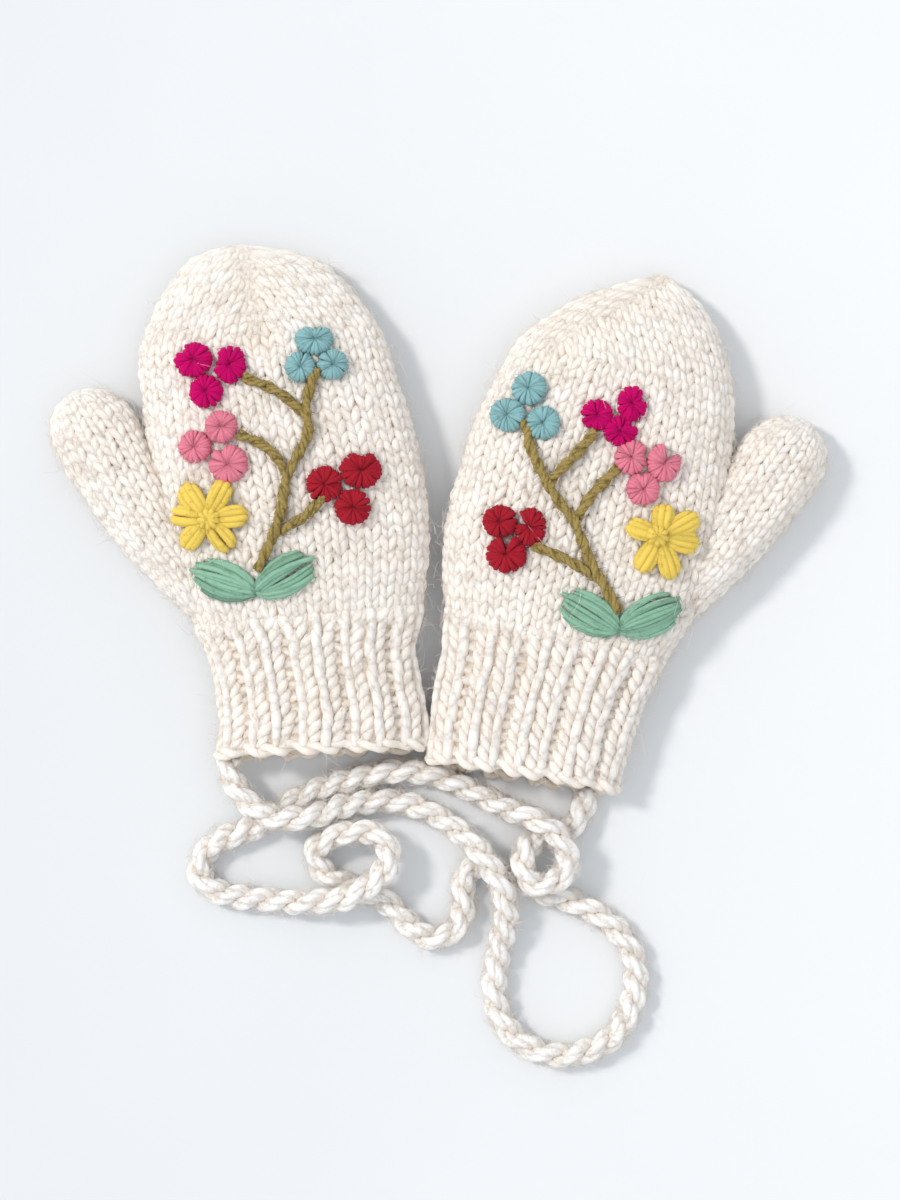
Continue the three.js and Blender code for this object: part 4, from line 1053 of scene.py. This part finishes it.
def yarn_material(name, light, shade_colour, ply_pitch=0.35, streaks=7.0, bump=0.5, specks=0.0,
                  speck_colour=(0.1, 0.08, 0.03), rough=0.97, sheen=0.05, soft=0.15):
    """Spun wool: fibres wind along the yarn, hollows get painted shade through the tone attribute, and
    a fine fuzz softens it.
    """
    material, nodes, links = node_tree(name)
    shader = nodes["Principled BSDF"]
    shader.inputs["Roughness"].default_value = rough
    shader.inputs["Sheen Weight"].default_value = sheen
    shader.inputs["Sheen Roughness"].default_value = 0.45
    shader.inputs["Specular IOR Level"].default_value = 0.08
    shader.inputs["Subsurface Weight"].default_value = soft
    shader.inputs["Subsurface Radius"].default_value = (1.0, 0.85, 0.70)
    shader.inputs["Subsurface Scale"].default_value = 0.0016

    winding = nodes.new("ShaderNodeUVMap")
    winding.uv_map = "winding"
    split = nodes.new("ShaderNodeSeparateXYZ")
    links.new(winding.outputs["UV"], split.inputs["Vector"])
    twist = nodes.new("ShaderNodeMath")
    twist.operation = "MULTIPLY_ADD"
    twist.inputs[1].default_value = ply_pitch
    links.new(split.outputs["X"], twist.inputs[0])
    links.new(split.outputs["Y"], twist.inputs[2])
    around = nodes.new("ShaderNodeMath")
    around.operation = "MULTIPLY"
    around.inputs[1].default_value = streaks
    links.new(twist.outputs[0], around.inputs[0])
    along = nodes.new("ShaderNodeMath")
    along.operation = "MULTIPLY"
    along.inputs[1].default_value = 0.55
    links.new(split.outputs["X"], along.inputs[0])
    fibre_place = nodes.new("ShaderNodeCombineXYZ")
    links.new(along.outputs[0], fibre_place.inputs["X"])
    links.new(around.outputs[0], fibre_place.inputs["Y"])
    fibres = nodes.new("ShaderNodeTexNoise")
    fibres.inputs["Scale"].default_value = 1.6
    fibres.inputs["Detail"].default_value = 4.0
    fibres.inputs["Roughness"].default_value = 0.62
    links.new(fibre_place.outputs["Vector"], fibres.inputs["Vector"])

    place = nodes.new("ShaderNodeTexCoord")
    fuzz = nodes.new("ShaderNodeTexNoise")
    fuzz.inputs["Scale"].default_value = 1500.0
    fuzz.inputs["Detail"].default_value = 3.0
    links.new(place.outputs["Object"], fuzz.inputs["Vector"])
    patches = nodes.new("ShaderNodeTexNoise")
    patches.inputs["Scale"].default_value = 70.0
    patches.inputs["Detail"].default_value = 3.0
    links.new(place.outputs["Object"], patches.inputs["Vector"])

    # tone attribute: random variation and painted shade from how the yarn is built
    tone = nodes.new("ShaderNodeAttribute")
    tone.attribute_name = "tone"
    total = nodes.new("ShaderNodeMath")
    total.operation = "MULTIPLY_ADD"
    total.inputs[1].default_value = 0.55
    links.new(fibres.outputs["Fac"], total.inputs[0])
    links.new(tone.outputs["Fac"], total.inputs[2])
    more = nodes.new("ShaderNodeMath")
    more.operation = "MULTIPLY_ADD"
    more.inputs[1].default_value = 0.30
    links.new(patches.outputs["Fac"], more.inputs[0])
    links.new(total.outputs[0], more.inputs[2])
    # the ramp's dark end is the painted-shade colour for hollows and undersides
    ramp = nodes.new("ShaderNodeValToRGB")
    ramp.color_ramp.elements[0].position = 0.335
    ramp.color_ramp.elements[0].color = (*shade_colour, 1)
    ramp.color_ramp.elements[1].position = 0.706
    ramp.color_ramp.elements[1].color = (*light, 1)
    pale = tuple(1 - (1 - c) * 0.35 for c in light) if soft > 0.2 else light
    ramp.color_ramp.elements.new(0.98).color = (*pale, 1)
    scale = nodes.new("ShaderNodeMath")
    scale.operation = "MULTIPLY"
    scale.inputs[1].default_value = 0.55
    links.new(more.outputs[0], scale.inputs[0])
    links.new(scale.outputs[0], ramp.inputs["Fac"])
    colour = ramp.outputs["Color"]
    if specks:
        dots = nodes.new("ShaderNodeTexNoise")
        dots.inputs["Scale"].default_value = 900.0
        dots.inputs["Detail"].default_value = 2.0
        links.new(place.outputs["Object"], dots.inputs["Vector"])
        limit = nodes.new("ShaderNodeMapRange")
        limit.inputs["From Min"].default_value = 0.56
        limit.inputs["From Max"].default_value = 0.66
        limit.inputs["To Max"].default_value = specks
        links.new(dots.outputs["Fac"], limit.inputs["Value"])
        mix = nodes.new("ShaderNodeMix")
        mix.data_type = "RGBA"
        mix.inputs[7].default_value = (*speck_colour, 1)
        links.new(limit.outputs[0], mix.inputs[0])
        links.new(colour, mix.inputs[6])
        colour = mix.outputs[2]
    links.new(colour, shader.inputs["Base Color"])

    relief = nodes.new("ShaderNodeMath")
    relief.operation = "MULTIPLY_ADD"
    relief.inputs[1].default_value = 0.5
    links.new(fuzz.outputs["Fac"], relief.inputs[0])
    links.new(fibres.outputs["Fac"], relief.inputs[2])
    raised = nodes.new("ShaderNodeBump")
    raised.inputs["Strength"].default_value = bump
    raised.inputs["Distance"].default_value = 0.0006
    links.new(relief.outputs[0], raised.inputs["Height"])
    links.new(raised.outputs["Normal"], shader.inputs["Normal"])
    return material


def finish_of(slot):
    """The spun finish of a slot, made once."""
    name = "spun_" + slot
    found = bpy.data.materials.get(name)
    if found:
        return found
    colours = settings()
    # the second colour given to each finish is its painted-shade colour
    if slot == "cream_wool":
        return yarn_material(name, tuple(colours.wool_light), tuple(colours.wool_shade), bump=0.35,
                             soft=0.25)
    if slot == "olive_yarn":
        return yarn_material(name, tuple(colours.olive), (0.14, 0.09, 0.018), specks=0.6)
    light = tuple(getattr(colours, slot.split("_")[0]))
    shade_colour = tuple(0.55 * c for c in light)
    return yarn_material(name, light, shade_colour, bump=0.4)


def floor_material():
    material, nodes, links = node_tree("pale_paper")
    shader = nodes["Principled BSDF"]
    shader.inputs["Roughness"].default_value = 0.9
    shader.inputs["Specular IOR Level"].default_value = 0.1
    place = nodes.new("ShaderNodeTexCoord")
    grain = nodes.new("ShaderNodeTexNoise")
    grain.inputs["Scale"].default_value = 8.0
    grain.inputs["Detail"].default_value = 2.0
    links.new(place.outputs["Object"], grain.inputs["Vector"])
    split = nodes.new("ShaderNodeSeparateXYZ")
    links.new(place.outputs["Object"], split.inputs["Vector"])
    # painted light: the floor's colour gets lighter towards +x, standing in for the fall of light
    # across it
    across = nodes.new("ShaderNodeMapRange")
    across.inputs["From Min"].default_value = -0.30
    across.inputs["From Max"].default_value = 0.30
    across.inputs["To Max"].default_value = 0.8
    links.new(split.outputs["X"], across.inputs["Value"])
    level = nodes.new("ShaderNodeMath")
    level.operation = "MULTIPLY_ADD"
    level.inputs[1].default_value = 0.2
    links.new(grain.outputs["Fac"], level.inputs[0])
    links.new(across.outputs[0], level.inputs[2])
    ramp = nodes.new("ShaderNodeValToRGB")
    ramp.color_ramp.elements[0].color = (0.635, 0.655, 0.675, 1)
    ramp.color_ramp.elements[1].color = (0.85, 0.855, 0.86, 1)
    links.new(level.outputs[0], ramp.inputs["Fac"])
    links.new(ramp.outputs["Color"], shader.inputs["Base Color"])
    return material


# ---------------------------------------------------------------- sizes and colours a user sets

def colour_property(name, description, default):
    return FloatVectorProperty(name=name, description=description, default=default, size=3,
                               min=0, max=1, subtype="COLOR")


class MittenSettings(bpy.types.PropertyGroup):
    """Sizes and colours of the mittens."""
    course: FloatProperty(name="Course", description="Height of one row of stitches, in millimetres",
                          default=3.7, min=2.5, max=6.0)
    cord_pitch: FloatProperty(name="Cord pitch", description="One turn of the cord, in millimetres",
                              default=16.0, min=8.0, max=40.0)
    hairs: IntProperty(name="Loose fibres", description="Number of loose fibres on the wool",
                       default=28000, min=0, max=40000)
    wool_light: colour_property("Wool", "Colour of the wool", (0.915, 0.84, 0.765))
    # painted shade: the colour the wool takes in its hollows and under its yarns
    wool_shade: colour_property("Wool hollows", "Colour between the stitches", (0.82, 0.70, 0.56))
    magenta: colour_property("Magenta", "Colour of the magenta yarn", (0.56, 0.002, 0.13))
    pink: colour_property("Pink", "Colour of the pink yarn", (0.76, 0.22, 0.30))
    red: colour_property("Red", "Colour of the red yarn", (0.38, 0.014, 0.028))
    teal: colour_property("Teal", "Colour of the teal yarn", (0.26, 0.47, 0.485))
    yellow: colour_property("Yellow", "Colour of the yellow yarn", (0.84, 0.61, 0.12))
    green: colour_property("Green", "Colour of the green yarn", (0.28, 0.50, 0.36))
    olive: colour_property("Olive", "Colour of the olive yarn", (0.36, 0.265, 0.09))


def settings():
    return bpy.context.scene.mittens


# ---------------------------------------------------------------- operators

class MITTENS_OT_stage(bpy.types.Operator):
    """Adds the floor, the lights and the camera"""
    bl_idname = "mittens.stage"
    bl_label = "Stage"

    def execute(self, context):
        scene = context.scene
        bpy.ops.object.select_all(action="DESELECT")
        bpy.ops.mesh.primitive_plane_add(size=6.0, location=(0, 0, 0))
        floor = context.active_object
        floor.name = "floor"
        floor.data.materials.append(floor_material())

        world = bpy.data.worlds.new("studio")
        world.use_nodes = True
        world.node_tree.nodes["Background"].inputs["Color"].default_value = (0.925, 0.96, 1.0, 1)
        world.node_tree.nodes["Background"].inputs["Strength"].default_value = 0.87
        scene.world = world

        for name, place, size, power, tint in (
                ("key", (-2.5, 1.2, 3.1), 0.6, 88.0, (1.0, 0.965, 0.925)),
                ("fill", (0.9, -0.9, 2.4), 1.5, 4.0, (0.92, 0.96, 1.0))):
            bpy.ops.object.light_add(type="AREA", location=place)
            light = context.active_object
            light.name = name
            light.data.size = size
            light.data.energy = power
            light.data.color = tint
            aim = Vector((0, -0.02, 0)) - Vector(place)
            light.rotation_euler = aim.to_track_quat("-Z", "Y").to_euler()

        shift = origin_of(LEFT)[:2] - np.array(LEFT_CUFF_AT)
        view_x = (3.4 + shift[0]) * 0.001
        view_y = (-26.0 + shift[1]) * 0.001
        bpy.ops.object.camera_add(location=(view_x, view_y, 1.3), rotation=(0, 0, 0))
        camera = context.active_object
        camera.data.sensor_fit = "VERTICAL"
        camera.data.sensor_height = 24.0
        camera.data.lens = 24.0 * (1.3 - 0.012) / 0.372
        camera.data.clip_start = 0.05
        camera.data.clip_end = 20.0
        camera.data.dof.use_dof = False
        scene.camera = camera
        scene.view_settings.view_transform = "Standard"
        return {"FINISHED"}


class MITTENS_OT_cord(bpy.types.Operator):
    """Twists the cord and lays it along its route"""
    bl_idname = "mittens.cord"
    bl_label = "Cord"

    def execute(self, context):
        line = cord_line()
        parts = twisted_strands(line, 2, 1.74, settings().cord_pitch, 3, 0.95, 14.0, 1.50, tone=1.4)
        for part in parts:
            part[0][:, 2] = np.maximum(part[0][:, 2], 0.0)
        cord = quads_mesh("twisted_cord", parts)
        finished(cord, finish_of("cream_wool"), "cord")
        return {"FINISHED"}


def add_knit(mitten, part, knit):
    surface, parts = knit
    parts = parts if isinstance(parts, list) else [parts]
    moved = [(placed(mitten, p[0]), *p[1:]) for p in parts]
    name = f"{mitten['name']}_{part}"
    for part_points in moved:
        part_points[0][:, 2] = np.maximum(part_points[0][:, 2], 0.0)
    yarn = quads_mesh(name + "_yarn", moved, mirrored=mitten["side"] < 0)

    def draw_in(points):
        points = own_frame(mitten, points)
        if part == "hand":
            tip = CUFF_LENGTH + HAND_LENGTH - 8.0
            points[:, 1] -= 0.6 * np.clip(points[:, 1] - tip, 0, None)
            points[:, 1] = np.minimum(points[:, 1], tip + 3.2)
        if part == "thumb":
            points = off_thumb(mitten, points)
            points[:, 1] -= 0.6 * np.clip(points[:, 1] - THUMB_LENGTH + 7.0, 0, None)
            points[:, 1] = np.minimum(points[:, 1], THUMB_LENGTH - 4.2)
            points = on_thumb(mitten, points)
        points[:, 2] = np.maximum(points[:, 2], 0.4)
        return placed(mitten, points)

    wall = cloth_backing(name + "_wall", name, draw_in)
    piece = joined(name + "_knit", [wall, yarn])
    return finished(piece, finish_of("cream_wool"), name)


class MITTENS_OT_hands(bpy.types.Operator):
    """Knits the hands"""
    bl_idname = "mittens.hands"
    bl_label = "Hands"

    def execute(self, context):
        for mitten in PAIR:
            add_knit(mitten, "hand", hand_knit(mitten))
        return {"FINISHED"}


class MITTENS_OT_thumbs(bpy.types.Operator):
    """Knits the thumbs"""
    bl_idname = "mittens.thumbs"
    bl_label = "Thumbs"

    def execute(self, context):
        for mitten in PAIR:
            add_knit(mitten, "thumb", thumb_knit(mitten))
        return {"FINISHED"}


class MITTENS_OT_cuffs(bpy.types.Operator):
    """Knits the ribbed cuffs"""
    bl_idname = "mittens.cuffs"
    bl_label = "Cuffs"

    def execute(self, context):
        for mitten in PAIR:
            add_knit(mitten, "cuff", cuff_knit(mitten))
        return {"FINISHED"}


def add_thread(mitten, part, parts, node, colour):
    parts = parts if isinstance(parts, list) else [parts]
    count = {"yellow": 700, "green": 350, "olive": 1000}.get(colour, 130)
    parts = fuzzed(parts, count, mitten["seed"] + len(part))
    moved = [(placed(mitten, p[0]), *p[1:]) for p in parts]
    piece = quads_mesh(f"{mitten['name']}_{part}_stitched", moved, mirrored=mitten["side"] < 0)
    return finished(piece, finish_of(colour + "_yarn"), node)


class MITTENS_OT_flowers(bpy.types.Operator):
    """Sews the round knots of the small flowers"""
    bl_idname = "mittens.flowers"
    bl_label = "Flowers"

    def execute(self, context):
        for mitten in PAIR:
            for colour, across, along, knots in mitten["flowers"]:
                for k, (dx, dy, radius) in enumerate(knots, 1):
                    x = across * HAND_HALF_WIDTH + dx * KNOT_RADIUS
                    y = CUFF_LENGTH + along * HAND_LENGTH + dy * KNOT_RADIUS
                    yarns = knot_yarns(mitten, f"{colour}_{k}", x, y, 1.07 * radius * KNOT_RADIUS,
                                       mitten["seed"] * 100 + len(colour) * 10 + k)
                    node = f"{mitten['name']}_{colour}_knot_{k}"
                    add_thread(mitten, f"{colour}_knot_{k}", yarns, node, colour)
        return {"FINISHED"}


class MITTENS_OT_daisies(bpy.types.Operator):
    """Sews the yellow daisies"""
    bl_idname = "mittens.daisies"
    bl_label = "Daisies"

    def execute(self, context):
        for mitten in PAIR:
            yarns = daisy_yarns(mitten, mitten["seed"] + 40)
            add_thread(mitten, "daisy", yarns, mitten["name"] + "_daisy", "yellow")
        return {"FINISHED"}


class MITTENS_OT_leaves(bpy.types.Operator):
    """Sews the leaves"""
    bl_idname = "mittens.leaves"
    bl_label = "Leaves"

    def execute(self, context):
        for mitten in PAIR:
            for part, angle in zip(("leaf_outer", "leaf_inner"), mitten["leaves"]):
                yarns = leaf_yarns(mitten, angle, mitten["seed"] + angle)
                add_thread(mitten, part, yarns, f"{mitten['name']}_{part}", "green")
        return {"FINISHED"}


class MITTENS_OT_stems(bpy.types.Operator):
    """Sews the stems"""
    bl_idname = "mittens.stems"
    bl_label = "Stems"

    def execute(self, context):
        for mitten in PAIR:
            yarns = stem_yarns(mitten, mitten["seed"] + 70)
            add_thread(mitten, "stem", yarns, mitten["name"] + "_stem", "olive")
        return {"FINISHED"}


def fuzzed(parts, count, seed, length=(0.8, 2.2)):
    """The parts with a few loose fibres standing out of their yarns."""
    rng = np.random.default_rng(seed)
    points = np.vstack([p[0] for p in parts])
    middle = points.mean(axis=0)
    pick = rng.integers(0, len(points), count)
    feet = points[pick]
    out = unit(feet - middle + rng.normal(0, 0.3, feet.shape) + [0, 0, 1.5])
    return [*parts, fibre_tubes(feet, out, seed + 1, length, thick=0.085)]


class MITTENS_OT_fibres(bpy.types.Operator):
    """Adds the loose fibres of the wool"""
    bl_idname = "mittens.fibres"
    bl_label = "Loose fibres"

    def execute(self, context):
        for mitten in PAIR:
            moved = []
            for part in knit_fibres(mitten):
                points = placed(mitten, part[0])
                points[:, 2] = np.maximum(points[:, 2], 0.1)
                moved.append((points, *part[1:]))
            piece = quads_mesh(mitten["name"] + "_fibres", moved, mirrored=mitten["side"] < 0)
            loose_finish(piece)
        part = cord_fibres(cord_line(), settings().hairs // 2)[0]
        part[0][:, 2] = np.maximum(part[0][:, 2], 0.1)
        loose_finish(quads_mesh("cord_fibres", [part]))
        return {"FINISHED"}


def loose_finish(piece):
    piece.data.materials.append(finish_of("cream_wool"))
    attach(piece, "root")


OPERATORS = (
    MITTENS_OT_stage, MITTENS_OT_cord, MITTENS_OT_hands, MITTENS_OT_thumbs, MITTENS_OT_cuffs,
    MITTENS_OT_flowers, MITTENS_OT_daisies, MITTENS_OT_leaves, MITTENS_OT_stems,
    MITTENS_OT_fibres,
)


class MITTENS_PT_panel(bpy.types.Panel):
    """Lists the pieces of the mittens"""
    bl_idname = "MITTENS_PT_panel"
    bl_label = "Mittens"
    bl_space_type = "VIEW_3D"
    bl_region_type = "UI"
    bl_category = "Mittens"

    def draw(self, context):
        for name in MittenSettings.__annotations__:
            self.layout.prop(context.scene.mittens, name)
        for operator in OPERATORS:
            self.layout.operator(operator.bl_idname)


CLASSES = (MittenSettings, *OPERATORS, MITTENS_PT_panel)


def register():
    for cls in CLASSES:
        bpy.utils.register_class(cls)
    bpy.types.Scene.mittens = PointerProperty(type=MittenSettings)


def unregister():
    del bpy.types.Scene.mittens
    for cls in reversed(CLASSES):
        bpy.utils.unregister_class(cls)


def main():
    register()
    bpy.ops.mittens.stage()
    bpy.ops.mittens.cord()
    bpy.ops.mittens.hands()
    bpy.ops.mittens.thumbs()
    bpy.ops.mittens.cuffs()
    bpy.ops.mittens.flowers()
    bpy.ops.mittens.daisies()
    bpy.ops.mittens.leaves()
    bpy.ops.mittens.stems()
    bpy.ops.mittens.fibres()


if __name__ == "__main__":
    main()
